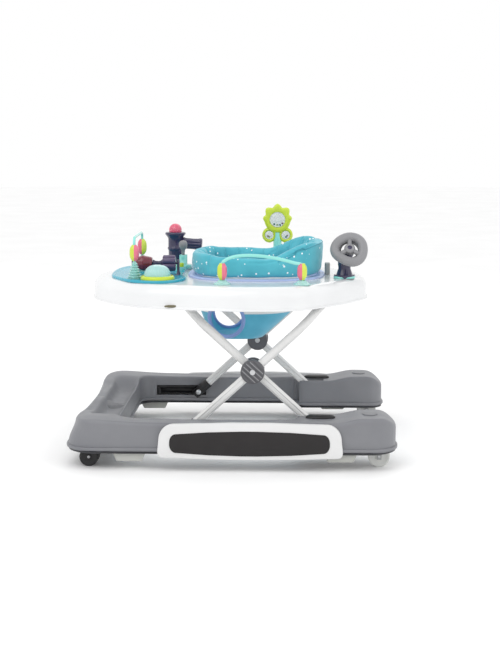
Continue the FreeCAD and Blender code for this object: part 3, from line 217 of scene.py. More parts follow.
@dataclass(frozen=True)
class Fabric:
    """Printed polyester cloth: a plain weave, soft sheen and small white dots scattered over the colour.

    Threads are about 0.4 mm apart; they are drawn at thread_mm so that the weave shows.
    """

    name: str
    colour: str
    shade: str
    dot: str | None = "ffffff"
    thread_mm: float = 1.1
    dot_pitch_mm: float = 14.0
    dot_mm: float = 4.0
    roughness: float = 0.82
    upper: str | None = None
    upper_from: float = 0.318

    def build(self) -> bpy.types.Material:
        """Make the material."""
        material = bpy.data.materials.new(self.name)
        material.use_nodes = True
        tree = material.node_tree
        shader = tree.nodes["Principled BSDF"]
        shader.inputs["Roughness"].default_value = self.roughness
        shader.inputs["Sheen Weight"].default_value = 0.35
        shader.inputs["Sheen Roughness"].default_value = 0.45
        shader.inputs["Specular IOR Level"].default_value = 0.25
        place = add_node(tree, "ShaderNodeTexCoord").outputs["Object"]
        wear = add_node(tree, "ShaderNodeTexNoise", {"in:Scale": 22.0, "in:Detail": 4.0}, {"Vector": place})
        tint = add_node(tree, "ShaderNodeValToRGB", links={"Fac": wear.outputs["Fac"]})
        ramp(tint, ((0.3, self.shade), (0.75, self.colour)))
        colour = tint.outputs["Color"]
        if self.dot:
            cells = add_node(tree, "ShaderNodeTexVoronoi", {"in:Scale": 1 / (self.dot_pitch_mm * MM)},
                             {"Vector": place})
            radius = self.dot_mm / 2 / self.dot_pitch_mm
            inside = add_node(tree, "ShaderNodeMapRange",
                              {"in:From Min": radius * 1.25, "in:From Max": radius * 0.9},
                              {"Value": cells.outputs["Distance"]})
            mix = add_node(tree, "ShaderNodeMix", {"data_type": "RGBA", 7: linear(self.dot)},
                           {0: inside.outputs["Result"], 6: colour})
            colour = mix.outputs[2]
        if self.upper:
            axes = add_node(tree, "ShaderNodeSeparateXYZ", links={0: place})
            above = add_node(tree, "ShaderNodeMapRange",
                             {"in:From Min": self.upper_from - MM, "in:From Max": self.upper_from + MM},
                             {"Value": axes.outputs["Z"]})
            panel = add_node(tree, "ShaderNodeMix", {"data_type": "RGBA", 7: linear(self.upper)},
                             {0: above.outputs["Result"], 6: colour})
            colour = panel.outputs[2]
        tree.links.new(colour, shader.inputs["Base Color"])
        height = self.weave(tree, place)
        bump = add_node(tree, "ShaderNodeBump", {"in:Strength": 0.35, "in:Distance": 0.25 * MM},
                        {"Height": height})
        tree.links.new(bump.outputs["Normal"], shader.inputs["Normal"])
        return material

    def weave(self, tree: bpy.types.NodeTree, place: bpy.types.NodeSocket) -> bpy.types.NodeSocket:
        """Cross two sets of threads and soften them with lint."""
        scale = FULL_TURN / 20 / (self.thread_mm * MM)
        rows = add_node(tree, "ShaderNodeTexWave", {"bands_direction": "Z", "in:Scale": scale},
                        {"Vector": place})
        slanted = add_node(tree, "ShaderNodeTexWave",
                           {"bands_direction": "DIAGONAL", "in:Scale": scale}, {"Vector": place})
        cross = add_node(tree, "ShaderNodeMath", {"operation": "MULTIPLY"},
                         {0: rows.outputs["Fac"], 1: slanted.outputs["Fac"]})
        lint = add_node(tree, "ShaderNodeTexNoise", {"in:Scale": 260.0, "in:Detail": 3.0}, {"Vector": place})
        both = add_node(tree, "ShaderNodeMath", {"operation": "MULTIPLY_ADD", 1: 0.7},
                        {0: lint.outputs["Fac"], 2: cross.outputs[0]})
        return both.outputs[0]


@dataclass(frozen=True)
class Metal:
    """Turned or zinc-plated steel: fine rings of tool marks and slightly uneven polish."""

    name: str
    colour: str
    roughness: float = 0.3

    def build(self) -> bpy.types.Material:
        """Make the material."""
        material = bpy.data.materials.new(self.name)
        material.use_nodes = True
        tree = material.node_tree
        shader = tree.nodes["Principled BSDF"]
        shader.inputs["Metallic"].default_value = 1.0
        shader.inputs["Base Color"].default_value = linear(self.colour)
        place = add_node(tree, "ShaderNodeTexCoord").outputs["Object"]
        marks = add_node(tree, "ShaderNodeTexNoise", {"in:Scale": 900.0, "in:Detail": 3.0}, {"Vector": place})
        rough = add_node(tree, "ShaderNodeMapRange",
                         {"in:To Min": self.roughness - 0.08, "in:To Max": self.roughness + 0.12},
                         {"Value": marks.outputs["Fac"]})
        tree.links.new(rough.outputs["Result"], shader.inputs["Roughness"])
        bump = add_node(tree, "ShaderNodeBump", {"in:Strength": 0.1, "in:Distance": 0.1 * MM},
                        {"Height": marks.outputs["Fac"]})
        tree.links.new(bump.outputs["Normal"], shader.inputs["Normal"])
        return material


class Finish(Enum):
    """Every finish on the walker."""

    BASE = Moulded("grey_moulded_pp", "7f8084", "76777c", 0.42, 0.1, 1.4, 0.10)
    BASE_SHADE = Moulded("deep_grey_moulded_pp", "77787c", "6f7074", 0.42, 0.1, 1.4, 0.10)
    BASE_DARK = Moulded("charcoal_moulded_abs", "3a3b3f", "323337", 0.32, 0.1, 1.2, 0.06)
    FOOT_PLATE = Moulded("white_semi_gloss_pp", "e0e0e0", "dbdbdb", 0.3, 0.08, 1.3, 0.04)
    GRIP = Moulded("black_tread_rubber", "1b1718", "171314", 0.6, 0.1, 1.6, 0.12)
    PAD = Moulded("warm_grey_tpe_pad", "bcbdb8", "b2b3ae", 0.6, 0.08, 1.0, 0.1)
    BLACK = Moulded("black_nylon", "151517", "101012", 0.4, 0.1, 1.0, 0.08)
    TREAD = Moulded("black_caster_pu", "141415", "0e0e0f", 0.45, 0.15, 0.9, 0.12)
    WHEEL = Moulded("natural_white_pp_wheel", "d8d9d6", "cfd0cd", 0.4, 0.1, 1.2, 0.06)
    HOOD = Moulded("light_grey_pp_hood", "a9abab", "a0a2a2", 0.4, 0.1, 1.2, 0.06)
    TUBE = Moulded("white_powder_coat_steel", "dededd", "d9d9d8", 0.28, 0.06, 0.9, 0.10, coat=0.3)
    TRAY = Moulded("white_gloss_abs_tray", "e6e7e8", "e1e2e3", 0.16, 0.05, 2.2, 0.015, coat=0.25)
    RING = Moulded("periwinkle_pp_ring", "b9c8ee", "afbfe9", 0.35, 0.08, 1.2, 0.05)
    TURQUOISE = Moulded("turquoise_gloss_abs", "35a9c0", "2b9db5", 0.26, 0.06, 2.0, 0.02, coat=0.1)
    MINT = Moulded("mint_gloss_abs", "98e2da", "8adad0", 0.2, 0.06, 2.0, 0.02, coat=0.3)
    MINT_SOFT = Moulded("mint_translucent_pp", "b9ebe6", "a9e2dc", 0.25, 0.06, 2.0, 0.02, coat=0.2,
                        clear=0.25)
    MINT_DOME = Moulded("mint_milky_ps_dome", "c2f0ee", "b2e8e6", 0.12, 0.05, 2.5, 0.02, coat=0.5, clear=0.3)
    RUBY = Moulded("ruby_gloss_ps", "7c1531", "6a1029", 0.1, 0.05, 3.0, 0.02, coat=0.6, clear=0.12)
    PINK_SPECKLED = Speckled("pink_glitter_ball", "e0607c", "d44f6e", 0.16, 0.06, 2.0, 0.02, coat=0.6)
    BEAD_LOOP = TwoShot("lime_pink_bead_loop", "cbdc4b", "c0d33c", 0.2, 0.06, 2.0, 0.02, coat=0.4,
                        second="e06f88", joint_x=-0.222)
    BEAD_LOOP_FAR = TwoShot("pink_lime_bead_loop", "e06f88", "d9617c", 0.2, 0.06, 2.0, 0.02, coat=0.4,
                            second="cbdc4b", joint_x=-0.222)
    BEAD_FRONT = TwoShot("lime_pink_bead_arch", "cbdc4b", "c0d33c", 0.2, 0.06, 2.0, 0.02, coat=0.4,
                         second="e06f88", joint_x=-0.021)
    BEAD_BACK = TwoShot("pink_lime_bead_arch", "e06f88", "d9617c", 0.2, 0.06, 2.0, 0.02, coat=0.4,
                        second="cbdc4b", joint_x=0.154)
    LIME = Moulded("lime_gloss_abs", "c9dc3c", "bed22e", 0.22, 0.06, 2.0, 0.02, coat=0.3)
    PINK = Moulded("pink_gloss_abs", "e06f88", "d9617c", 0.22, 0.06, 2.0, 0.02, coat=0.3)
    NAVY = Moulded("navy_gloss_abs", "332f52", "2a2747", 0.2, 0.06, 2.0, 0.03, coat=0.4)
    PURPLE = Moulded("aubergine_gloss_abs", "57496c", "4a3e5f", 0.24, 0.06, 2.0, 0.03, coat=0.3)
    CLEAR = Moulded("clear_ps_capsule", "f2f6f6", "ebf1f1", 0.05, 0.03, 3.0, 0.01, clear=0.9)
    WHEEL_GREY = Moulded("mid_grey_soft_abs", "8e8e91", "838386", 0.4, 0.1, 1.3, 0.06)
    WHEEL_DARK = Moulded("dark_grey_soft_abs", "5d5d61", "545458", 0.4, 0.1, 1.3, 0.06)
    CLOTH = Fabric("turquoise_dotted_polyester", "5cbbcb", "4eacbd")
    CLOTH_BAG = Fabric("turquoise_and_pale_seat_panels", "5fb9d6", "50a9c8", None, upper="e4e6e6")
    CLOTH_SEAM = Fabric("turquoise_seam_cord", "3f9fb2", "378fa2", None)
    BINDING = Fabric("periwinkle_binding_tape", "8fa9de", "7e99d0", None, 0.9)
    OLIVE = Moulded("olive_rubber_grommet", "77715a", "6b6650", 0.6, 0.1, 1.0, 0.08)
    STEEL = Metal("zinc_plated_steel", "c9cacc")

    def material(self) -> bpy.types.Material:
        """Return the finish's material, making it the first time."""
        known = bpy.data.materials.get(self.value.name)
        return known or self.value.build()


# ------------------------------------------------------------------ modelling helpers

Loop = Sequence[tuple[float, float, float]]


def add_loop(bm: bmesh.types.BMesh, points: Loop) -> list[bmesh.types.BMVert]:
    """Add a closed ring of edges through points given in millimetres.

    Args:
        bm: the mesh being built.
        points: the ring's corners in order.

    Returns:
        The ring's points in order.
    """
    ring = bmesh.ops.create_circle(bm, segments=len(points), radius=1.0)["verts"]
    for vert, point in zip(ring, points):
        vert.co = Vector(point) * MM
    return ring


def edges_of(ring: Sequence[bmesh.types.BMVert]) -> list[bmesh.types.BMEdge]:
    """Return the edges that join a ring's points to each other."""
    members = set(ring)
    return list({edge for vert in ring for edge in vert.link_edges if edge.other_vert(vert) in members})


def skin(bm: bmesh.types.BMesh, loops: Sequence[Loop], cap_first: bool = False,
         cap_last: bool = False) -> None:
    """Extrude a ring through a row of equal rings to make one surface.

    Args:
        bm: the mesh being built.
        loops: the rings, each a list of points in millimetres.
        cap_first: close the first ring.
        cap_last: close the last ring.
    """
    ring = add_loop(bm, loops[0])
    rim = edges_of(ring)
    if cap_first:
        bmesh.ops.holes_fill(bm, edges=rim, sides=0)
    for loop in loops[1:]:
        grown = bmesh.ops.extrude_edge_only(bm, edges=rim)["geom"]
        fresh = {item for item in grown if isinstance(item, bmesh.types.BMVert)}
        ring = [next(e.other_vert(v) for e in v.link_edges if e.other_vert(v) in fresh) for v in ring]
        for vert, point in zip(ring, loop):
            vert.co = Vector(point) * MM
        rim = edges_of(ring)
    if cap_last:
        bmesh.ops.holes_fill(bm, edges=rim, sides=0)


def turn(bm: bmesh.types.BMesh, profile: Sequence[tuple[float, float]], steps: int = 40) -> None:
    """Spin a (radius, height) profile in millimetres around the Z axis into a closed skin."""
    verts = [bm.verts.new(Vector((r, 0, z)) * MM) for r, z in profile]
    edges = [bm.edges.new(pair) for pair in zip(verts, verts[1:])]
    bmesh.ops.spin(bm, geom=verts + edges, cent=(0, 0, 0), axis=(0, 0, 1), angle=FULL_TURN, steps=steps,
                   use_merge=True)
    bmesh.ops.remove_doubles(bm, verts=bm.verts, dist=0.02 * MM)


def rounded(bm: bmesh.types.BMesh, width: float, segments: int = 3, sharp: float = 0.5) -> None:
    """Bevel every edge sharper than an angle.

    Args:
        bm: the mesh being built.
        width: the bevel's width in millimetres.
        segments: rows of faces in the bevel.
        sharp: the angle in radians past which an edge is bevelled.
    """
    edges = [e for e in bm.edges if len(e.link_faces) == 2 and e.calc_face_angle(0.0) > sharp]
    bmesh.ops.bevel(bm, geom=edges, offset=width * MM, offset_type="OFFSET", affect="EDGES",
                    segments=segments, profile=0.5, material=-1, clamp_overlap=True)


def slab_of(bm: bmesh.types.BMesh, outline: Loop, height: float) -> None:
    """Fill a closed outline and raise it by height millimetres."""
    ring = add_loop(bm, outline)
    faces = bmesh.ops.holes_fill(bm, edges=edges_of(ring), sides=0)["faces"]
    raised = bmesh.ops.extrude_face_region(bm, geom=faces)["geom"]
    lifted = [item for item in raised if isinstance(item, bmesh.types.BMVert)]
    bmesh.ops.translate(bm, verts=lifted, vec=(0, 0, height * MM))


def placed(bm: bmesh.types.BMesh, at: Sequence[float], towards: Vector | None = None) -> None:
    """Turn a mesh's Z axis towards a direction and move its origin to a place in millimetres."""
    turned = Vector((0, 0, 1)).rotation_difference(towards).to_matrix().to_4x4() if towards else Matrix()
    bmesh.ops.transform(bm, matrix=Matrix.Translation(Vector(at) * MM) @ turned, verts=bm.verts)


def superellipse(half_x: float, half_y: float, centre: tuple[float, float], z: float, power: float = 2.6,
                 count: int = 96) -> list[tuple[float, float, float]]:
    """Points of a rounded-square ring in millimetres."""
    out = []
    for k in range(count):
        angle = FULL_TURN * k / count
        c, s = math.cos(angle), math.sin(angle)
        out.append((centre[0] + half_x * math.copysign(abs(c) ** (2 / power), c),
                    centre[1] + half_y * math.copysign(abs(s) ** (2 / power), s), z))
    return out


def smooth_closed(points: Sequence[tuple[float, float]], count: int) -> list[tuple[float, float]]:
    """Run an even closed curve through plan points.

    Args:
        points: the plan points in order.
        count: how many points to return, evenly spaced along the curve.

    Returns:
        The points of the smooth outline.
    """
    dense: list[tuple[float, float]] = []
    total = len(points)
    for k in range(total):
        p0, p1, p2, p3 = [Vector(points[(k + j) % total]) for j in (-1, 0, 1, 2)]
        for step in range(16):
            t = step / 16
            spot = 0.5 * (2 * p1 + (p2 - p0) * t + (2 * p0 - 5 * p1 + 4 * p2 - p3) * t * t
                          + (3 * p1 - p0 - 3 * p2 + p3) * t ** 3)
            dense.append((spot.x, spot.y))
    lengths = [math.dist(dense[k], dense[(k + 1) % len(dense)]) for k in range(len(dense))]
    step_length = sum(lengths) / count
    out, walked, target = [], 0.0, 0.0
    for k, length in enumerate(lengths):
        while target < walked + length and len(out) < count:
            t = (target - walked) / length
            (x0, y0), (x1, y1) = dense[k], dense[(k + 1) % len(dense)]
            out.append((x0 + (x1 - x0) * t, y0 + (y1 - y0) * t))
            target += step_length
        walked += length
    return out


def moved_in(outline: Sequence[tuple[float, float]], inset: float) -> list[tuple[float, float]]:
    """Move an anticlockwise closed outline inwards by inset millimetres."""
    out = []
    total = len(outline)
    for k, (x, y) in enumerate(outline):
        (xa, ya), (xb, yb) = outline[k - 1], outline[(k + 1) % total]
        length = math.hypot(xb - xa, yb - ya)
        out.append((x - inset * (yb - ya) / length, y + inset * (xb - xa) / length))
    return out


def smoothstep(value: float, low: float, high: float) -> float:
    """Ease from 0 at low to 1 at high."""
    t = min(1.0, max(0.0, (value - low) / (high - low)))
    return t * t * (3 - 2 * t)


@dataclass
class Piece:
    """A finished mesh piece that rides on a body and may stand for CAD nodes."""

    name: str
    body: str
    finish: Finish
    slot: str
    replaces: tuple[str, ...] = ()
    smooth_angle: float = 0.7
    subdivide: int = 0

    def make(self, bm: bmesh.types.BMesh, outward: bool = True) -> bpy.types.Object:
        """Turn the bmesh into the piece's object.

        Args:
            bm: the finished bmesh; it is freed.
            outward: recalculate the faces to point outwards.

        Returns:
            The object, dressed and riding on its body.
        """
        if outward:
            bmesh.ops.recalc_face_normals(bm, faces=bm.faces)
        mesh = bpy.data.meshes.new(self.name)
        bm.to_mesh(mesh)
        bm.free()
        piece = bpy.data.objects.new(self.name, mesh)
        bpy.context.scene.collection.objects.link(piece)
        if self.subdivide:
            modifier = piece.modifiers.new("Subdivision", "SUBSURF")
            modifier.levels = modifier.render_levels = self.subdivide
        self.dress(piece)
        return piece

    def dress(self, piece: bpy.types.Object) -> None:
        """Shade, paint and attach an object that is already in place."""
        shade(piece, self.smooth_angle)
        piece.data.materials.clear()
        piece.data.materials.append(self.finish.material())
        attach(piece, self.body)
        if self.replaces:
            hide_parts(*self.replaces)
        LOG.info("%s: %d faces on %s", self.name, len(piece.data.polygons), self.body)


def shade(piece: bpy.types.Object, angle: float) -> None:
    """Shade smooth, with creases kept past an angle in radians."""
    piece.data.shade_smooth()
    piece.data.set_sharp_from_angle(angle=angle)


def baked(piece: bpy.types.Object) -> None:
    """Apply all of an object's modifiers to its mesh."""
    graph = bpy.context.evaluated_depsgraph_get()
    mesh = bpy.data.meshes.new_from_object(piece.evaluated_get(graph))
    piece.modifiers.clear()
    piece.data = mesh


def loose_object(name: str, bm: bmesh.types.BMesh) -> bpy.types.Object:
    """Make a bare object from a bmesh, for further modelling."""
    mesh = bpy.data.meshes.new(name)
    bm.to_mesh(mesh)
    bm.free()
    made = bpy.data.objects.new(name, mesh)
    bpy.context.scene.collection.objects.link(made)
    return made


def join_in(target: bmesh.types.BMesh, part: bmesh.types.BMesh) -> None:
    """Pour one mesh into another and free it."""
    spare = bpy.data.meshes.new("spare")
    part.to_mesh(spare)
    part.free()
    target.from_mesh(spare)
    bpy.data.meshes.remove(spare)


def tube(bm: bmesh.types.BMesh, path: Sequence[Sequence[float]], radius: float, closed: bool = False,
         sides: int = 12) -> None:
    """Sweep a round section along a path.

    Args:
        bm: the mesh being built.
        path: points in millimetres.
        radius: the section's radius in millimetres.
        closed: join the last ring to the first.
        sides: corners of the section.
    """
    spots = [Vector(p) for p in path]
    rings, across = [], None
    for k, spot in enumerate(spots):
        before = spots[k - 1] if k or closed else spot
        after = spots[(k + 1) % len(spots)] if k + 1 < len(spots) or closed else spot
        along = (after - before).normalized()
        if across is None:
            across = along.orthogonal().normalized()
        across = (across - along * across.dot(along)).normalized()
        frame = Matrix((across, along.cross(across), along)).transposed().to_4x4()
        made = bmesh.ops.create_circle(bm, segments=sides, radius=radius * MM,
                                       matrix=Matrix.Translation(spot * MM) @ frame)["verts"]
        rings.append(list({edge for vert in made for edge in vert.link_edges}))
    pairs = list(zip(rings, rings[1:])) + ([(rings[-1], rings[0])] if closed else [])
    for near, far in pairs:
        bmesh.ops.bridge_loops(bm, edges=near + far)
    if not closed:
        for ring in (rings[0], rings[-1]):
            bmesh.ops.holes_fill(bm, edges=ring, sides=0)


def bent(corners: Sequence[Sequence[float]], radius: float, steps: int = 8) -> list[Vector]:
    """Round the corners of a run of straight pieces.

    Args:
        corners: the run's points in millimetres.
        radius: the bend radius in millimetres.
        steps: points in each bend.

    Returns:
        The path with its bends.
    """
    spots = [Vector(c) for c in corners]
    path = [spots[0]]
    for before, corner, after in zip(spots, spots[1:], spots[2:]):
        back, on = (before - corner).normalized(), (after - corner).normalized()
        reach = radius * math.tan((math.pi - back.angle(on)) / 2)
        start, end = corner + back * reach, corner + on * reach
        for k in range(steps + 1):
            t = k / steps
            path.append(start * (1 - t) ** 2 + corner * 2 * t * (1 - t) + end * t * t)
    return path + [spots[-1]]


def rounded_outline(corners: Sequence[tuple[float, float, float]],
                    steps: int = 8) -> list[tuple[float, float]]:
    """Plan outline through corners given as (x, y, radius) in millimetres, in order."""
    out: list[tuple[float, float]] = []
    for k, (x, y, radius) in enumerate(corners):
        before, after = corners[k - 1], corners[(k + 1) % len(corners)]
        here = Vector((x, y, 0))
        path = bent([(Vector((before[0], before[1], 0)) + here) / 2, here,
                     (Vector((after[0], after[1], 0)) + here) / 2], radius, steps)
        out += [(spot.x, spot.y) for spot in path[1:-1]]
    return out


def block(bm: bmesh.types.BMesh, low: Sequence[float], high: Sequence[float]) -> None:
    """Add a box between two corners in millimetres."""
    middle = (Vector(low) + Vector(high)) / 2
    size = Vector(high) - Vector(low)
    bmesh.ops.create_cube(bm, size=MM, matrix=Matrix.Translation(middle * MM) @ Matrix.Diagonal((*size, 1)))


def merged_copy(node: bpy.types.Object, bevel: float = 0.0) -> bmesh.types.BMesh:
    """Copy a CAD node's mesh, join its triangles and soften its edges.

    Args:
        node: the CAD node's object.
        bevel: width of the softened edges in millimetres; 0 leaves them.

    Returns:
        The joined mesh.
    """
    bm = bmesh.new()
    bm.from_mesh(node.data)
    bmesh.ops.remove_doubles(bm, verts=bm.verts, dist=0.01 * MM)
    if bevel:
        bmesh.ops.dissolve_limit(bm, angle_limit=0.02, verts=bm.verts, edges=bm.edges)
        rounded(bm, bevel, 2, 0.7)
    return bm


# ------------------------------------------------------------------ carried parts

@dataclass
class CarriedParts:
    """Hard parts whose CAD shape is right: each gets a joined mesh with softened edges and its own finish."""

    edge_mm: float = 0.8

    def rows(self) -> list[tuple[str, str, Finish, str, float]]:
        """Return (node, body, finish, slot, edge width) for every carried part."""
        e = self.edge_mm
        rows = [
            ("base_bottom_cover", "base", Finish.BASE_DARK, "base_grey", 0.0),
            ("friction_pads", "base", Finish.PAD, "pad_rubber", 2.0),
            ("height_racks", "base", Finish.BLACK, "black_plastic", 0.0),
            ("frame_pivot_pins", "base", Finish.STEEL, "steel", 0.0),
            ("rear_axles", "base", Finish.STEEL, "steel", 0.0),
            ("rear_wheel_brackets", "base", Finish.HOOD, "light_grey", e),
            ("frame_a_tube", "frame_a", Finish.TUBE, "white_tube", 0.0),
            ("frame_b_tube", "frame_b", Finish.TUBE, "white_tube", 0.0),
            ("scissor_bolts", "frame_a", Finish.STEEL, "steel", 0.4),
            ("scissor_spacers", "frame_a", Finish.BLACK, "black_plastic", 0.4),
            ("end_fittings", "frame_b", Finish.BLACK, "black_plastic", 0.0),
            ("slider_pins", "frame_b", Finish.STEEL, "steel", 0.0),
            ("tray_guides", "tray", Finish.WHEEL, "tray_white", e),
            ("tray_pivot_clips", "tray", Finish.WHEEL, "tray_white", 0.0),
            ("tray_shoes", "tray_shoes", Finish.WHEEL, "tray_white", 0.0),
            ("lever_mount", "tray", Finish.MINT, "mint", 0.0),
            ("side_button", "side_button", Finish.LIME, "lime", 1.2),
        ]
        for side in ("right", "left"):
            rows += [
                (f"caster_axle_{side}", f"caster_{side}", Finish.STEEL, "steel", 0.0),
                (f"slot_slider_{side}", f"slider_{side}", Finish.BLACK, "black_plastic", 0.6),
            ]
        return rows

    def build(self, nodes: dict[str, bpy.types.Object]) -> None:
        """Make every carried part from its CAD node."""
        for node, body, finish, slot, edge in self.rows():
            piece = Piece(f"{node}_part", body, finish, slot, (node,))
            piece.make(merged_copy(nodes[node], edge), outward=False)


# ------------------------------------------------------------------ base

@dataclass
class BaseMoulding:
    """The grey horseshoe: soft rails, swollen back ends and a dished front, blown in one piece."""

    half_length: float = 362.0
    half_width: float = 300.0
    rail_inner: float = 246.0
    lobe_inner: float = 192.0
    lobe_start: float = 138.0
    front_inner: float = -255.0
    floor: float = 40.0
    rail_top: float = 106.0
    edge_radius: float = 23.0
    voxel_mm: float = 3.0
    lip_out: float = 4.0
    lip_step: float = 12.0
    front_bow: float = 14.0
    front_slope: float = 18.0

    def outline(self) -> list[tuple[float, float]]:
        """Return the horseshoe's plan, anticlockwise."""
        half = [(self.front_inner, self.rail_inner, 40.0), (self.lobe_start, self.rail_inner, 6.0),
                (self.lobe_start + 14, self.lobe_inner, 16.0), (self.half_length, self.lobe_inner, 38.0),
                (self.half_length, self.half_width, 64.0), (-self.half_length, self.half_width, 66.0)]
        other = [(x, -y, r) for x, y, r in reversed(half)]
        return rounded_outline(other + half)

    def top(self, x: float, y: float) -> float:
        """Height of the moulding's top over a plan point in millimetres."""
        side = abs(y)
        height = self.rail_top - 2.0 * smoothstep(x, -250, -60) * (1 - smoothstep(x, 60, 150))
        height += 7.0 * math.exp(-(((x + 305) / 62) ** 2 + ((side - 262) / 60) ** 2))
        height += 11.0 * smoothstep(x, 222, 292) - 24.0 * smoothstep(x, 312, 372) ** 2
        dish = smoothstep(232 - side, 0, 60) * math.exp(-((x + 286) / 30) ** 4)
        ridge = smoothstep(200 - side, 0, 60) * math.exp(-((x + 338) / 18) ** 2)
        return height - 27.0 * dish + ridge * (2.5 * math.sin(side / 31.0) - 3.0)

    def bowed(self, x: float, y: float) -> float:
        """Place along the walker once the middle of the front is drawn in."""
        return x + self.front_bow * max(0.0, 1 - (y / 200) ** 2) * (1 - smoothstep(x, -366, -280))

    def cutters(self, bm: bmesh.types.BMesh) -> None:
        """Fill a mesh with the room for wheels, tubes and the height racks."""
        for sign in (-1, 1):
            well = bmesh.ops.create_cone(bm, cap_ends=True, segments=48, radius1=44 * MM, radius2=44 * MM,
                                         depth=60 * MM)["verts"]
            bmesh.ops.translate(bm, verts=well, vec=Vector((-297, sign * 250, 22)) * MM)
            for low, high in (((118, 198, 48), (214, 222, 140)), ((-214, 240, 57), (-86, 263, 83)),
                              ((295, 229, 20), (355, 261, 66))):
                ys = sorted((sign * low[1], sign * high[1]))
                block(bm, (low[0], ys[0], low[2]), (high[0], ys[1], high[2]))

    def build(self) -> None:
        """Make the moulding and its lip."""
        bm = bmesh.new()
        slab_of(bm, [(x, y, self.floor) for x, y in self.outline()], self.rail_top - self.floor)
        bmesh.ops.recalc_face_normals(bm, faces=bm.faces)
        rim = [e for e in bm.edges if all(v.co.z > (self.rail_top - 1) * MM for v in e.verts)]
        bmesh.ops.bevel(bm, geom=rim, offset=self.edge_radius * MM, offset_type="OFFSET", affect="EDGES",
                        segments=6, profile=0.5, material=-1, clamp_overlap=True)
        body = loose_object("base_body", bm)
        tools = bmesh.new()
        self.cutters(tools)
        cutter = loose_object("base_cutter", tools)
        remesh = body.modifiers.new("Remesh", "REMESH")
        remesh.mode, remesh.voxel_size = "VOXEL", self.voxel_mm * MM
        soften = body.modifiers.new("Smooth", "SMOOTH")
        soften.factor, soften.iterations = 0.5, 6
        baked(body)
        bm = bmesh.new()
        bm.from_mesh(body.data)
        for vert in bm.verts:
            x, y, z = vert.co / MM
            if z > self.floor + 4:
                stretch = (self.top(x, y) - self.floor) / (self.rail_top - self.floor)
                z = self.floor + (z - self.floor) * (1 + (stretch - 1) * smoothstep(z, 44, 80))
            x = self.bowed(x, y)
            x += self.front_slope * smoothstep(z, 50, 108) * (1 - smoothstep(x, -366, -300))
            vert.co = Vector((x, y, z)) * MM
        bm.to_mesh(body.data)
        bm.free()
        carve = body.modifiers.new("Carve", "BOOLEAN")
        carve.object, carve.operation, carve.solver = cutter, "DIFFERENCE", "EXACT"
        baked(body)
        bpy.data.objects.remove(cutter)
        body.name = "base_moulding"
        Piece("base_moulding", "base", Finish.BASE, "base_grey", ("base_upper_shell",), 0.75).dress(body)
        self.lip()

    def lip(self) -> None:
        """Make the narrow lip where the moulding meets its bottom cover."""
        bm = bmesh.new()
        corners = self.outline()
        plan = []
        for (xa, ya), (xb, yb) in zip(corners, corners[1:] + corners[:1]):
            parts = max(1, round(math.hypot(xb - xa, yb - ya) / self.lip_step))
            plan += [(xa + (xb - xa) * k / parts, ya + (yb - ya) * k / parts) for k in range(parts)]
        rings = []
        for out, z in ((-2.0, 43.5), (self.lip_out - 1, 44.0), (self.lip_out, 45.2), (self.lip_out, 48.8),
                       (self.lip_out - 1, 50.2), (-2.0, 51.0)):
            ring = []
            for x, y in moved_in(plan, -out):
                ring.append((self.bowed(x, y), y, z))
            rings.append(ring)
        skin(bm, rings + rings[:1])
        bmesh.ops.remove_doubles(bm, verts=bm.verts, dist=0.01 * MM)
        Piece("base_lip", "base", Finish.BASE, "base_grey").make(bm)


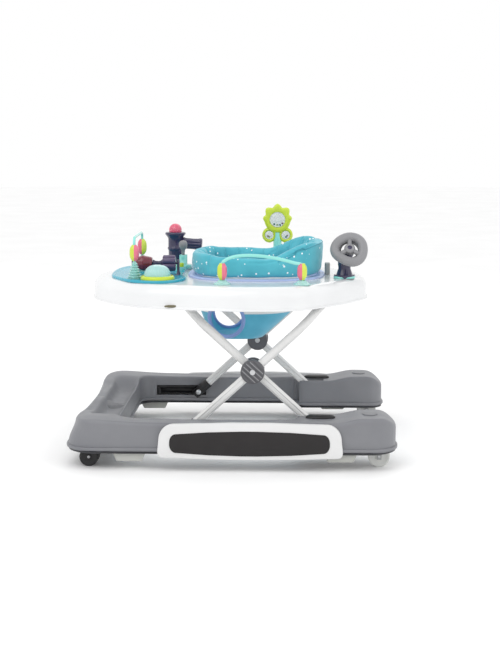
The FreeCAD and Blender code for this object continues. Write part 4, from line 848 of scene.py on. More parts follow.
@dataclass
class BaseFittings:
    """Step plates with rubber grips, housing levers and end trims."""

    plate_ends: tuple[float, float] = (-153.0, 238.0)
    plate_bottom: float = 32.0
    corner: float = 30.0
    flare: float = 5.0
    grip_middle: float = 63.5
    grip_stretch: float = 1.34
    cup_before: float = -200.0
    cup_proud: float = 0.8

    def build(self, nodes: dict[str, bpy.types.Object]) -> None:
        """Make the fittings that stand on the base."""
        self.plates(nodes["foot_plates"])
        grips = merged_copy(nodes["foot_grips"], 0.7)
        for vert in grips.verts:
            vert.co.z = self.grip_middle * MM + (vert.co.z - self.grip_middle * MM) * self.grip_stretch
        pads = Piece("foot_grip_pair", "base", Finish.GRIP, "black_rubber", ("foot_grips",))
        pads.make(grips, outward=False)
        trims = merged_copy(nodes["base_trim"], 0.0)
        surface = BaseMoulding()
        cup = [vert for vert in trims.verts if vert.co.x < self.cup_before * MM]
        rim = max((vert.co.z for vert in cup), default=0.0)
        for vert in cup:
            vert.co.z += (surface.top(vert.co.x / MM, vert.co.y / MM) + self.cup_proud) * MM - rim
        Piece("lobe_trims", "base", Finish.BASE_SHADE, "dark_grey", ("base_trim",)).make(trims, outward=False)
        self.levers()

    def plates(self, node: bpy.types.Object) -> None:
        """Make the step plates: round top corners, nearly square flared bottom corners.

        Args:
            node: the plain plates.
        """
        bm = merged_copy(node, 2.2)
        for vert in bm.verts:
            x, _, z = vert.co / MM
            for end, way in zip(self.plate_ends, (-1, 1)):
                corner_x, corner_z = end - way * self.corner, self.plate_bottom + self.corner
                across, down = (x - corner_x) * way, corner_z - z
                if across <= 0:
                    continue
                if down > 0:
                    squarer = math.hypot(across, down) / (across ** 6 + down ** 6) ** (1 / 6)
                    across, down = across * squarer, down * squarer
                x = corner_x + way * (across + self.flare * smoothstep(down, -50, 30) * smoothstep(across,
                                                                                                   0, 20))
                z = corner_z - down
            vert.co.x, vert.co.z = x * MM, z * MM
        plates = Piece("foot_plate_pair", "base", Finish.FOOT_PLATE, "white_plastic", ("foot_plates",))
        plates.make(bm, outward=False)

    def levers(self) -> None:
        """Make the glossy oval levers beside the tube slots."""
        bm = bmesh.new()
        for sign in (-1, 1):
            rings = []
            for grow, z in ((0, 103.0), (1.5, 105.5), (2, 107.5), (0.5, 110.0), (-4, 112.2), (-10, 113.2)):
                rings.append(superellipse(31 + grow, 13 + grow * 0.8, (196, sign * 237), z, 2.2, 40))
            shell = bmesh.new()
            skin(shell, rings, True, True)
            join_in(bm, shell)
        Piece("housing_lever_pair", "base", Finish.BLACK, "dark_grey", ("housing_levers",)).make(bm)


@dataclass
class Wheels:
    """Swivel casters at the front and fixed wheels in hoods at the back."""

    rear_x: float = 325.0
    rear_y: float = 245.0
    rear_radius: float = 24.0
    caster_x: float = -314.0
    caster_y: float = 250.0
    caster_radius: float = 21.0

    def build(self, nodes: dict[str, bpy.types.Object]) -> None:
        """Make all the wheels and forks."""
        for side, sign in (("right", 1), ("left", -1)):
            bm = bmesh.new()
            w, r = 9.5, self.rear_radius
            turn(bm, [(3.4, -w), (8, -w), (9, -w + 1.5), (17, -w + 1.5), (19, -w), (r - 1.5, -w), (r,
                                                                                                   -w + 1.5),
                      (r, w - 1.5), (r - 1.5, w), (19, w), (17, w - 1.5), (9, w - 1.5), (8, w), (3.4, w),
                      (3.4, -w)])
            placed(bm, (self.rear_x, sign * self.rear_y, r), Vector((0, 1, 0)))
            Piece(f"rear_wheel_{side}_tyre", f"rear_wheel_{side}", Finish.WHEEL, "wheel_white",
                  (f"rear_wheel_{side}",)).make(bm)
            bm = bmesh.new()
            for y in (-12.0, 12.0):
                disc = bmesh.new()
                w, r = 5.3, self.caster_radius
                turn(disc, [(3.2, -w), (6, -w), (7, -w + 1.2), (14, -w + 1.2), (15.5, -w), (r - 2, -w),
                            (r, -w + 2), (r, w - 2), (r - 2, w), (15.5, w), (14, w - 1.2), (7, w - 1.2),
                            (6, w),
                            (3.2, w), (3.2, -w)], 36)
                placed(disc, (self.caster_x, sign * self.caster_y + y, r), Vector((0, 1, 0)))
                join_in(bm, disc)
            Piece(f"caster_wheel_{side}_tyre", f"caster_wheel_{side}", Finish.TREAD, "caster_black",
                  (f"caster_wheel_{side}",)).make(bm)
            hood = Piece(f"caster_fork_{side}_hood", f"caster_{side}", Finish.BLACK, "caster_black",
                         (f"caster_fork_{side}",))
            hood.make(merged_copy(nodes[f"caster_fork_{side}"], 0.5), outward=False)


@dataclass
class CrossingCovers:
    """Round dark grey covers over the crossing bolts, with slanted lighter ribs."""

    x: float = 46.5
    z: float = 208.5
    radius: float = 26.5
    ribs: tuple[float, ...] = (-13.0, -4.5, 4.5, 13.0)

    def build(self, nodes: dict[str, bpy.types.Object]) -> None:
        """Make the covers on both tubes and their ribs."""
        for node, body in (("outer_covers", "frame_b"), ("inner_covers", "frame_a")):
            Piece(f"{node}_part", body, Finish.WHEEL_DARK, "black_plastic", (node,)).make(
                merged_copy(nodes[node], 1.2), outward=False)
        bm = bmesh.new()
        slope = Matrix.Rotation(math.radians(42.5), 4, "Y")
        for sign in (-1, 1):
            for across in self.ribs:
                length = 2 * math.sqrt(self.radius ** 2 - across ** 2) - 7
                made = bmesh.ops.create_cube(bm, size=MM, matrix=Matrix.Diagonal((length, 1.6, 2.2,
                                                                                  1)))["verts"]
                bmesh.ops.translate(bm, verts=made, vec=(0, 0, across * MM))
                bmesh.ops.transform(bm, matrix=slope, verts=made)
                bmesh.ops.translate(bm, verts=made, vec=Vector((self.x, sign * 247.2, self.z)) * MM)
        rounded(bm, 0.5, 2)
        Piece("cover_ribs", "frame_b", Finish.WHEEL_GREY, "black_plastic").make(bm)


# ------------------------------------------------------------------ tray

@dataclass
class Tray:
    """The glossy white tray: a wide rounded shell with a rolled lip, and the ring that holds the seat."""

    top: float = 397.96
    edge: float = 347.0
    wall: float = 3.0
    round_top: float = 24.0
    cross_x: float = 46.46
    half_width: float = 282.0
    seat: tuple[float, float] = (48.96, 0.0)
    seat_half: tuple[float, float] = (150.0, 148.0)
    count: int = 168
    plan: tuple[tuple[float, float], ...] = (
        (-375.5, 0.106), (-359.5, 0.326), (-315.5, 0.571), (-259.5, 0.766), (-212.5, 0.855), (-167.5, 0.904),
        (-101.5, 0.954), (-36.5, 1.000), (38.5, 0.996), (102.5, 0.933), (137.5, 0.819), (169.5, 0.681),
        (203.5, 0.532), (232.5, 0.355), (256.5, 0.160))

    def outline(self) -> list[tuple[float, float]]:
        """Return the tray's smooth plan, anticlockwise."""
        half = [(x + self.cross_x, share * self.half_width) for x, share in self.plan]
        return smooth_closed([(x, -y) for x, y in half] + [(x, y) for x, y in reversed(half)], self.count)

    def seat_ring_at(self, outline: Sequence[tuple[float, float]], grow: float) -> list[tuple[float, float]]:
        """Points of the seat opening, grown by some millimetres, in line with the outline's points."""
        out = []
        for x, y in outline:
            angle = math.atan2(y - self.seat[1], x - self.seat[0])
            out.append(seat_edge(angle, self.seat, self.seat_half, grow))
        return out

    def build(self) -> None:
        """Make the shell, the ring and the slot in the skirt."""
        bm = bmesh.new()
        plan = self.outline()
        rings: list[Loop] = []

        def add(points: Sequence[tuple[float, float]], z: float) -> None:
            rings.append([(x, y, z) for x, y in points])

        for out, z in ((0.5, self.edge), (2.6, self.edge + 0.6), (3.0, self.edge + 2.0),
                       (2.6, self.edge + 3.6),
                       (0.6, self.edge + 4.6), (0.0, self.edge + 7)):
            add(moved_in(plan, -out), z)
        for k in range(9):
            turn_by = math.pi / 2 * k / 8
            add(moved_in(plan, self.round_top * (1 - math.cos(turn_by))),
                self.top - self.round_top * (1 - math.sin(turn_by)))
        inner, near_seat = moved_in(plan, self.round_top), self.seat_ring_at(plan, 10.0)
        for k in range(1, 7):
            t = k / 6
            rings.append([(xa + (xb - xa) * t, ya + (yb - ya) * t, self.top)
                          for (xa, ya), (xb, yb) in zip(inner, near_seat)])
        add(self.seat_ring_at(plan, 1.0), self.top)
        add(self.seat_ring_at(plan, 0.0), self.top - 1.0)
        add(self.seat_ring_at(plan, 0.0), self.top - 13.0)
        add(self.seat_ring_at(plan, self.wall), self.top - 13.0)
        add(self.seat_ring_at(plan, self.wall), self.top - 3.2)
        under = self.round_top - self.wall
        ceiling = moved_in(plan, self.round_top)
        lower_seat = self.seat_ring_at(plan, 8.0)
        for k in range(0, 5):
            t = k / 4
            rings.append([(xb + (xa - xb) * t, yb + (ya - yb) * t, self.top - self.wall)
                          for (xa, ya), (xb, yb) in zip(ceiling, lower_seat)])
        for k in range(7, -1, -1):
            turn_by = math.pi / 2 * k / 8
            add(moved_in(plan, self.wall + under * (1 - math.cos(turn_by))),
                self.top - self.wall - under * (1 - math.sin(turn_by)))
        add(moved_in(plan, self.wall), self.edge)
        skin(bm, rings + rings[:1])
        bmesh.ops.remove_doubles(bm, verts=bm.verts, dist=0.01 * MM)
        Piece("tray_moulding", "tray", Finish.TRAY, "tray_white", ("tray_shell",), 0.9).make(bm)
        self.ring()
        self.slot()

    def ring(self) -> None:
        """Make the pale blue ring that carries the seat."""
        bm = bmesh.new()
        rows = ((9.0, 0.0), (9.4, 0.8), (9.0, 3.2), (7.6, 4.0), (-8.0, 4.0), (-9.0, 3.0), (-9.0, -12.0),
                (-8.2, -13.0), (-1.0, -13.0), (-0.4, -12.4), (-0.4, 0.0))
        rings = []
        for grow, up in rows:
            ring = [seat_edge(FULL_TURN * k / 120, self.seat, self.seat_half, grow) for k in range(120)]
            rings.append([(x, y, self.top + up + 0.04) for x, y in ring])
        skin(bm, rings + rings[:1])
        bmesh.ops.remove_doubles(bm, verts=bm.verts, dist=0.01 * MM)
        Piece("seat_carrier_ring", "tray", Finish.RING, "periwinkle", ("seat_ring",), 0.8).make(bm)

    def slot(self) -> None:
        """Make the small dark strap slots let into the skirt."""
        bm = bmesh.new()
        for sign in (-1, 1):
            part = bmesh.new()
            slab_of(part, superellipse(14, 2.6, (0, 0), 0, 3.0, 32), 3.0)
            rounded(part, 0.6, 2)
            turned = Matrix.Rotation(math.radians(-90 * sign), 4, "X")
            bmesh.ops.transform(part, matrix=Matrix.Translation(Vector((-131, sign * 254.2, 355)) * MM)
                                @ Matrix.Rotation(math.radians(-9 * sign), 4, "Z") @ turned, verts=part.verts)
            join_in(bm, part)
        Piece("skirt_slots", "tray", Finish.OLIVE, "black_plastic").make(bm)


def seat_edge(angle: float, centre: tuple[float, float], half: tuple[float, float],
              grow: float) -> tuple[float, float]:
    """Point where a ray from the seat's middle meets its rounded-square edge.

    Args:
        angle: the ray's direction in radians.
        centre: the seat's middle in millimetres.
        half: the edge's half length and half width in millimetres.
        grow: how far outside the edge, in millimetres.

    Returns:
        The plan point in millimetres.
    """
    c, s = math.cos(angle), math.sin(angle)
    reach = (abs(c / (half[0] + grow)) ** 2.6 + abs(s / (half[1] + grow)) ** 2.6) ** (-1 / 2.6)
    return centre[0] + reach * c, centre[1] + reach * s


# ------------------------------------------------------------------ seat

@dataclass
class Seat:
    """The fabric seat: a hanging bag with two leg openings and a stuffed rim that rises to a high back."""

    centre: tuple[float, float] = (48.96, 0.0)
    half: tuple[float, float] = (150.0, 148.0)
    foot: float = 402.2
    front_top: float = 460.0
    side_top: float = 455.0
    back_top: float = 486.0
    thick: float = 31.0
    bag_top: float = 386.0
    bag_bottom: float = 254.0
    bag_low: tuple[float, float, float] = (4.96, 62.0, 70.0)
    hole: tuple[float, float, float, float] = (-18.0, 304.0, 40.0, 44.0)
    puff_mm: float = 7.0

    def rim_height(self, x: float) -> float:
        """Height of the rim's top edge at a place along the walker."""
        rise = smoothstep(x, 62, 178) ** 1.15
        front = 1 - smoothstep(x, -78, -38)
        return (self.side_top + (self.front_top - self.side_top) * front
                + (self.back_top - self.side_top) * rise)

    def pad_rings(self, shrink: float) -> list[Loop]:
        """Cross-section rings of the stuffed rim, a little smaller than finished."""
        section = []
        for k in range(22):
            angle = FULL_TURN * k / 22
            c, s = math.cos(angle), math.sin(angle)
            section.append((0.5 * math.copysign(abs(c) ** 0.62, c),
                            0.5 + 0.5 * math.copysign(abs(s) ** 0.62, s)))
        rings = []
        for across, up in section:
            ring = []
            for k in range(150):
                angle = FULL_TURN * k / 150
                x, _ = seat_edge(angle, self.centre, self.half, 0.0)
                top = self.rim_height(x) - shrink
                back = smoothstep(x, 60, 180)
                lean = (5.0 * back * up)
                grow = 4.5 - self.thick / 2 + across * (self.thick - 2 * shrink) + lean
                px, py = seat_edge(angle, self.centre, self.half, grow)
                ring.append((px, py, self.foot + shrink * 0.4 + (top - self.foot - shrink * 0.4) * up))
            rings.append(ring)
        return rings

    def pad(self) -> None:
        """Stuff the rim by simulation, then sew its seams and pleats."""
        bm = bmesh.new()
        rings = self.pad_rings(4.0)
        skin(bm, rings + rings[:1])
        bmesh.ops.remove_doubles(bm, verts=bm.verts, dist=0.01 * MM)
        bmesh.ops.recalc_face_normals(bm, faces=bm.faces)
        pad = loose_object("seat_rim", bm)
        remesh = pad.modifiers.new("Remesh", "REMESH")
        remesh.mode, remesh.voxel_size = "VOXEL", 5 * MM
        baked(pad)
        puff_up(pad, self.puff_mm)
        finer = pad.modifiers.new("Subdivision", "SUBSURF")
        finer.levels = finer.render_levels = 1
        baked(pad)
        bm = bmesh.new()
        bm.from_mesh(pad.data)
        bm.normal_update()
        for vert in bm.verts:
            x, y, z = vert.co / MM
            vert.co -= vert.normal * self.sewn(x, y, z) * MM
            vert.co.z = max(vert.co.z, self.foot * MM)
        bm.to_mesh(pad.data)
        bm.free()
        pad.name = "seat_rim_cushion"
        Piece("seat_rim_cushion", "tray", Finish.CLOTH, "seat_fabric", ("seat_rim_pad",), 3.0).dress(pad)
        self.piping(pad)

    def seam_height(self, x: float) -> float:
        """Height of the long seam on the rim's outside, which climbs to the back."""
        return 438.0 + 42.0 * smoothstep(x, 50, 205) ** 1.3

    def sewn(self, x: float, y: float, z: float) -> float:
        """How deep the seams and pleats pull the cloth in at a point, in millimetres."""
        angle = math.atan2(y, x - self.centre[0])
        ex, ey = seat_edge(angle, self.centre, self.half, 2.5 - self.thick / 2)
        outside = math.hypot(x - self.centre[0], y) > math.hypot(ex - self.centre[0], ey)
        depth = 0.0
        if outside:
            along = 1 - smoothstep(abs(z - self.seam_height(x)), 0, 4.0)
            depth += 2.4 * along * smoothstep(x, 10, 60)
            front = abs(math.atan2(math.sin(angle - math.pi), math.cos(angle - math.pi)))
            depth += 1.8 * (1 - smoothstep(abs(front - 0.86), 0, 0.028)) * smoothstep(z, 404, 420)
        pleat = abs(math.sin(angle * 13.0))
        inside_depth = 3.2 * (1 - smoothstep(pleat, 0, 0.30)) * smoothstep(z, 404, 420)
        if not outside:
            depth += inside_depth
        wrinkle = noise.noise(Vector((x / 26, y / 26, z / 15))) * 1.1
        return depth + wrinkle

    def piping(self, pad: bpy.types.Object) -> None:
        """Make the cord piped into the seam, lying on the cushion from mid side round the back.

        Args:
            pad: the finished cushion.
        """
        bm = bmesh.new()
        path = []
        for k in range(97):
            angle = math.radians(-72 + 144 * k / 96)
            x, y = seat_edge(angle, self.centre, self.half, 12.0)
            found, spot, normal, _ = pad.closest_point_on_mesh(Vector((x, y, self.seam_height(x))) * MM)
            if found:
                path.append(tuple((spot + normal * 0.4 * MM) / MM))
        tube(bm, path, 1.3, sides=8)
        Piece("rim_piping", "tray", Finish.CLOTH_SEAM, "seat_fabric").make(bm)

    def bag_at(self, angle: float, z: float, inset: float) -> tuple[float, float]:
        """Plan point of the hanging bag at a height."""
        t = (self.bag_top - z) / (self.bag_top - self.bag_bottom)
        sag = 1 - t ** 1.6
        centre = (self.centre[0] + (self.bag_low[0] - self.centre[0]) * t, 0.0)
        half = (self.bag_low[1] + (self.half[0] - 1 - self.bag_low[1]) * (0.35 * sag + 0.65 * (1 - t)),
                self.bag_low[2] + (self.half[1] - 1 - self.bag_low[2]) * (0.35 * sag + 0.65 * (1 - t)))
        return seat_edge(angle, centre, half, -inset)

    def bag(self) -> None:
        """Make the hanging bag with its leg openings, lining and bound edges."""
        bm = bmesh.new()
        rows = [self.bag_bottom + (self.bag_top - self.bag_bottom) * k / 16 for k in range(17)]
        rings = []
        for inset, heights in ((0.0, rows), (2.6, list(reversed(rows)))):
            for z in heights:
                up = 2.6 if inset and z < self.bag_bottom + 2.6 else 0.0
                rings.append([(*self.bag_at(FULL_TURN * k / 120, z, inset), z + up) for k in range(120)])
        skin(bm, rings, True, True)
        bmesh.ops.recalc_face_normals(bm, faces=bm.faces)
        bag = loose_object("seat_bag", bm)
        tool = bmesh.new()
        hx, hz, rx, rz = self.hole
        bmesh.ops.create_cone(tool, cap_ends=True, segments=64, radius1=1.0, radius2=1.0, depth=0.5)
        bmesh.ops.transform(tool, matrix=Matrix.Translation(Vector((hx, 0, hz)) * MM)
                            @ Matrix.Diagonal((rx * MM, 1, rz * MM, 1))
                            @ Matrix.Rotation(math.pi / 2, 4, "X"), verts=tool.verts)
        cutter = loose_object("leg_cutter", tool)
        carve = bag.modifiers.new("Carve", "BOOLEAN")
        carve.object, carve.operation, carve.solver = cutter, "DIFFERENCE", "EXACT"
        baked(bag)
        bpy.data.objects.remove(cutter)
        bag.name = "seat_bag"
        Piece("seat_bag", "tray", Finish.CLOTH_BAG, "seat_fabric", ("seat_pouch",), 0.8).dress(bag)
        self.bindings()

    def bindings(self) -> None:
        """Make the binding tape round each leg opening."""
        bm = bmesh.new()
        hx, hz, rx, rz = self.hole
        for sign in (-1, 1):
            path = []
            for k in range(72):
                turn_by = FULL_TURN * k / 72
                x, z = hx + rx * math.cos(turn_by), hz + rz * math.sin(turn_by)
                path.append(self.on_bag(x, z, sign))
            tube(bm, path, 4.4, True, 12)
        Piece("leg_bindings", "tray", Finish.BINDING, "periwinkle").make(bm)

    def on_bag(self, x: float, z: float, sign: int) -> tuple[float, float, float]:
        """Point on one side of the bag at a place and height, in millimetres."""
        low, high = 0.02, math.pi - 0.02
        for _ in range(30):
            middle = (low + high) / 2
            if self.bag_at(middle, z, 1.3)[0] > x:
                low = middle
            else:
                high = middle
        spot = self.bag_at((low + high) / 2, z, 1.3)
        return spot[0], sign * spot[1], z

    def build(self, nodes: dict[str, bpy.types.Object]) -> None:
        """Make the whole seat."""
        self.pad()
        self.bag()
        Piece("back_clip", "tray", Finish.HOOD, "clear_plastic", ("seat_back_clip",)).make(
            merged_copy(nodes["seat_back_clip"], 1.5), outward=False)


def puff_up(pad: bpy.types.Object, cap_mm: float) -> None:
    """Blow a closed skin up like a stuffed pad, with a limit on how far each point moves.

    Args:
        pad: the object; its mesh is changed.
        cap_mm: the furthest a point may move, in millimetres.
    """
    start = [vert.co.copy() for vert in pad.data.vertices]
    cloth = pad.modifiers.new("Cloth", "CLOTH")
    settings = cloth.settings
    settings.quality = 6
    settings.mass = 0.3
    settings.tension_stiffness = settings.compression_stiffness = 12.0
    settings.shear_stiffness = 6.0
    settings.bending_stiffness = 0.4
    settings.use_pressure = True
    settings.uniform_pressure_force = 4.0
    settings.effector_weights.gravity = 0.0
    cloth.collision_settings.use_collision = False
    cloth.point_cache.frame_start, cloth.point_cache.frame_end = 1, 20
    for frame in range(1, 21):
        bpy.context.scene.frame_set(frame)
    baked(pad)
    for vert, first in zip(pad.data.vertices, start):
        moved = vert.co - first
        if moved.length > cap_mm * MM:
            vert.co = first + moved.normalized() * cap_mm * MM
    bpy.context.scene.frame_set(1)


# ------------------------------------------------------------------ stage

@dataclass
class Studio:
    """A pale floor, soft white light from above and the sides, and the camera."""

    camera_at: tuple[float, float, float] = (0.126, -3.089, 0.737)
    tilt: float = 81.115
    heading: float = 1.714
    lens: float = 71.1
    key_power: float = 20.0
    fill_power: float = 8.0
    sky: float = 1.0

    def build(self) -> None:
        """Make the camera, the lights, the sky and the floor."""
        scene = bpy.context.scene
        scene.view_settings.view_transform = "Standard"
        camera = bpy.data.cameras.new("camera")
        camera.lens, camera.sensor_width, camera.sensor_fit = self.lens, 36.0, "AUTO"
        holder = bpy.data.objects.new("camera", camera)
        holder.location = self.camera_at
        holder.rotation_euler = (math.radians(self.tilt), 0.0, math.radians(self.heading))
        scene.collection.objects.link(holder)
        scene.camera = holder
        for name, at, size, power in (("key", (-1.2, -1.6, 2.6), 2.2, self.key_power),
                                      ("fill", (2.2, -1.4, 1.5), 2.4, self.fill_power),
                                      ("back", (0.4, 2.2, 2.2), 2.4, self.fill_power)):
            light = bpy.data.lights.new(name, "AREA")
            light.size, light.energy = size, power
            lamp = bpy.data.objects.new(name, light)
            lamp.location = at
            lamp.rotation_euler = (Vector((0, 0, 0.25)) - Vector(at)).to_track_quat("-Z", "Y").to_euler()
            scene.collection.objects.link(lamp)
        world = bpy.data.worlds.new("sky")
        world.use_nodes = True
        scene.world = world
        backdrop = world.node_tree.nodes["Background"]
        backdrop.inputs["Color"].default_value = linear("ffffff")
        backdrop.inputs["Strength"].default_value = self.sky
        bm = bmesh.new()
        bmesh.ops.create_circle(bm, cap_ends=True, segments=64, radius=14.0)
        floor = loose_object("floor", bm)
        floor.data.materials.append(self.floor_finish())

    def floor_finish(self) -> bpy.types.Material:
        """Matt white paper with faint mottling."""
        material = bpy.data.materials.new("white_paper_floor")
        material.use_nodes = True
        tree = material.node_tree
        shader = tree.nodes["Principled BSDF"]
        shader.inputs["Roughness"].default_value = 0.9
        shader.inputs["Specular IOR Level"].default_value = 0.1
        place = add_node(tree, "ShaderNodeTexCoord").outputs["Object"]
        mottle = add_node(tree, "ShaderNodeTexNoise", {"in:Scale": 3.0, "in:Detail": 2.0}, {"Vector": place})
        tint = add_node(tree, "ShaderNodeValToRGB", links={"Fac": mottle.outputs["Fac"]})
        ramp(tint, ((0.3, "fbfbfb"), (0.7, "ffffff")))
        tree.links.new(tint.outputs["Color"], shader.inputs["Base Color"])
        return material


# ------------------------------------------------------------------ toys

def lobed(radius: float, depth: float, lobes: int, z: float, count: int = 96, phase: float = 0.0,
          soft: float = 1.0) -> list[tuple[float, float, float]]:
    """Ring whose radius swells in even lobes.

    Args:
        radius: mean radius in millimetres.
        depth: how far the lobes rise and fall, in millimetres.
        lobes: how many lobes there are.
        z: the ring's height in millimetres.
        count: points in the ring.
        phase: turn of the pattern in radians.
        soft: below 1 the lobes are wide and the valleys narrow.

    Returns:
        The ring's points.
    """
    out = []
    for k in range(count):
        angle = FULL_TURN * k / count
        wave = abs(math.cos(lobes * angle / 2 + phase)) ** soft * 2 - 1
        reach = radius + depth * wave
        out.append((reach * math.cos(angle), reach * math.sin(angle), z))
    return out


@dataclass
class ActivityPlate:
    """The turquoise crescent at the front with its domed button."""

    level: float = 398.0
    half_plan: tuple[tuple[float, float], ...] = (
        (-284, 60), (-262, 125), (-222, 186), (-165, 207), (-128, 184), (-108, 130), (-121, 60))
    dome_at: tuple[float, float] = (-168.0, -165.0)

    def build(self) -> None:
        """Make the plate, the ring and the dome."""
        bm = bmesh.new()
        plan = smooth_closed([(x, -y) for x, y in self.half_plan]
                             + [(x, y) for x, y in reversed(self.half_plan)], 180)
        area = sum(xa * yb - xb * ya for (xa, ya), (xb, yb) in zip(plan, plan[1:] + plan[:1]))
        if area < 0:
            plan = list(reversed(plan))
        rings = []
        for inset, up in ((0.0, 0.1), (-0.3, 1.0), (0.0, 4.2), (1.2, 5.8), (3.4, 6.4), (5.6, 5.8), (8.0, 4.4),
                          (11.0, 4.0), (16.0, 4.0)):
            rings.append([(x, y, self.level + (min(up, 4.4) if x > -145 and abs(y) < 85 else up))
                          for x, y in moved_in(plan, inset)])
        skin(bm, rings, True, True)
        Piece("activity_plate", "tray", Finish.TURQUOISE, "turquoise", ("toy_plate",), 0.9).make(bm)
        self.dome()

    def dome(self) -> None:
        """Make the lime ring and the ribbed pale dome."""
        x, y = self.dome_at
        bm = bmesh.new()
        turn(bm, [(30.0, 402), (37.4, 402), (38.0, 403), (38.0, 408.5), (36.6, 411), (34.0, 412.2), (31.4,
                                                                                                     411.6),
                  (30.0, 410), (30.0, 402)], 64)
        bmesh.ops.translate(bm, verts=bm.verts, vec=Vector((x, y, 0)) * MM)
        Piece("dome_collar", "tray", Finish.LIME, "lime", ("dome_ring",)).make(bm)
        bm = bmesh.new()
        rings = []
        for radius, z, rib in ((28.6, 408.2, 0), (29.4, 409, 0.1), (29.4, 414, 0.3), (28.4, 420, 0.5),
                               (25.6, 426, 0.6), (21.0, 430.8, 0.6), (15.0, 434, 0.5), (8.0, 435.6, 0.3),
                               (2.0, 436.0, 0.0)):
            rings.append(lobed(radius - rib, rib, 24, z, 144))
        skin(bm, rings, True, True)
        bmesh.ops.translate(bm, verts=bm.verts, vec=Vector((x, y, 0)) * MM)
        Piece("dome_press", "dome_button", Finish.MINT_DOME, "mint_clear", ("dome_button",)).make(bm)


@dataclass
class BeadToys:
    """The wire loop and the side arch, each with two beads moulded in two colours."""

    loop_x: float = -222.04
    loop_y: tuple[float, float] = (-140.0, 20.0)
    loop_bead_z: float = 459.96
    arch_y: float = -215.0
    arch_x: tuple[float, float] = (-21.04, 153.96)
    arch_bead_z: float = 426.96

    def bead(self, name: str, body: str, at: tuple[float, float, float], bore: float, finish: Finish) -> None:
        """Make one long rounded bead.

        Args:
            name: the CAD node that the bead stands for.
            body: the body that it rides on.
            at: the bead's middle in millimetres.
            bore: radius of its hole in millimetres.
            finish: its two colours.
        """
        bm = bmesh.new()
        outside = []
        for k in range(17):
            t = -1 + k / 8
            outside.append((10.9 * (1 - abs(t) ** 2.8) ** 0.42 if abs(t) < 1 else bore + 0.4, 18.0 * t))
        outside[0], outside[-1] = (bore + 2.2, -18.0), (bore + 2.2, 18.0)
        turn(bm, [(bore, -17.6)] + outside + [(bore, 17.6), (bore, -17.6)], 40)
        bmesh.ops.translate(bm, verts=bm.verts, vec=Vector(at) * MM)
        Piece(f"{name}_two_colour", body, finish, "bead_lime", (name,), 1.0).make(bm)

    def build(self) -> None:
        """Make the loop, the arch and the four beads."""
        self.loop()
        self.arch()
        z = self.loop_bead_z
        self.bead("loop_bead_left", "loop_bead_left", (self.loop_x, self.loop_y[0], z), 3.1, Finish.BEAD_LOOP)
        self.bead("loop_bead_right", "loop_bead_right", (self.loop_x, self.loop_y[1], z), 3.1,
                  Finish.BEAD_LOOP_FAR)
        z = self.arch_bead_z
        self.bead("arch_bead_front", "arch_bead_front", (self.arch_x[0], self.arch_y, z), 3.85,
                  Finish.BEAD_FRONT)
        self.bead("arch_bead_back", "arch_bead_back", (self.arch_x[1], self.arch_y, z), 3.85,
                  Finish.BEAD_BACK)

    def loop(self) -> None:
        """Make the bent wire and its two ribbed spring feet."""
        bm = bmesh.new()
        x, (y0, y1) = self.loop_x, self.loop_y
        tube(bm, bent([(x, y0, 410), (x, y0, 494), (x, y1, 494), (x, y1, 410)], 15.0, 10), 3.0, sides=16)
        Piece("bead_wire", "tray", Finish.MINT, "mint", ("bead_loop",)).make(bm)
        bm = bmesh.new()
        for y in self.loop_y:
            foot = bmesh.new()
            ribs = [(0.0, 402.0), (17.0, 402.0), (17.5, 403.5)]
            for k in range(6):
                z, r = 404.5 + 5.7 * k, 15.6 - 1.7 * k
                ribs += [(r - 2.2, z), (r, z + 1.2), (r, z + 2.8), (r - 2.4, z + 4.0)]
            ribs += [(4.2, 439.5), (0.0, 440.0)]
            turn(foot, ribs, 40)
            bmesh.ops.translate(foot, verts=foot.verts, vec=Vector((x, y, 0)) * MM)
            join_in(bm, foot)
        Piece("spring_feet", "tray", Finish.MINT_SOFT, "mint_clear").make(bm)

    def arch(self) -> None:
        """Make the rod over the tray's side, which bows up and slopes down to the back."""
        bm = bmesh.new()
        (x0, x1), y = self.arch_x, self.arch_y
        path = [Vector((x0, y, 404)), Vector((x0, y, 444))]
        for k in range(25):
            t = k / 24
            arch = math.sin(math.pi * min(1.0, t * 1.08)) ** 0.9
            rise = 458.5 - 14.0 * t ** 1.6 + 7.5 * arch - 9.0 * (1 - t) ** 12
            path.append(Vector((x0 + 3 + (x1 - x0 - 6) * t, y, rise - 1.0)))
        path += [Vector((x1, y, 438)), Vector((x1, y, 404))]
        tube(bm, path, 3.75, sides=16)
        Piece("arch_rod", "tray", Finish.MINT, "mint", ("side_arch",)).make(bm)
        bm = bmesh.new()
        for x in self.arch_x:
            foot = bmesh.new()
            turn(foot, [(0, 398.1), (18.5, 398.1), (19, 399), (18.2, 400.6), (14, 402.2), (10.6, 405.0),
                        (9.6, 407.0),
                        (8.4, 407.6), (0, 407.6)], 48)
            bmesh.ops.translate(foot, verts=foot.verts, vec=Vector((x, y, 0)) * MM)
            join_in(bm, foot)
        Piece("arch_feet", "tray", Finish.MINT_SOFT, "mint").make(bm)


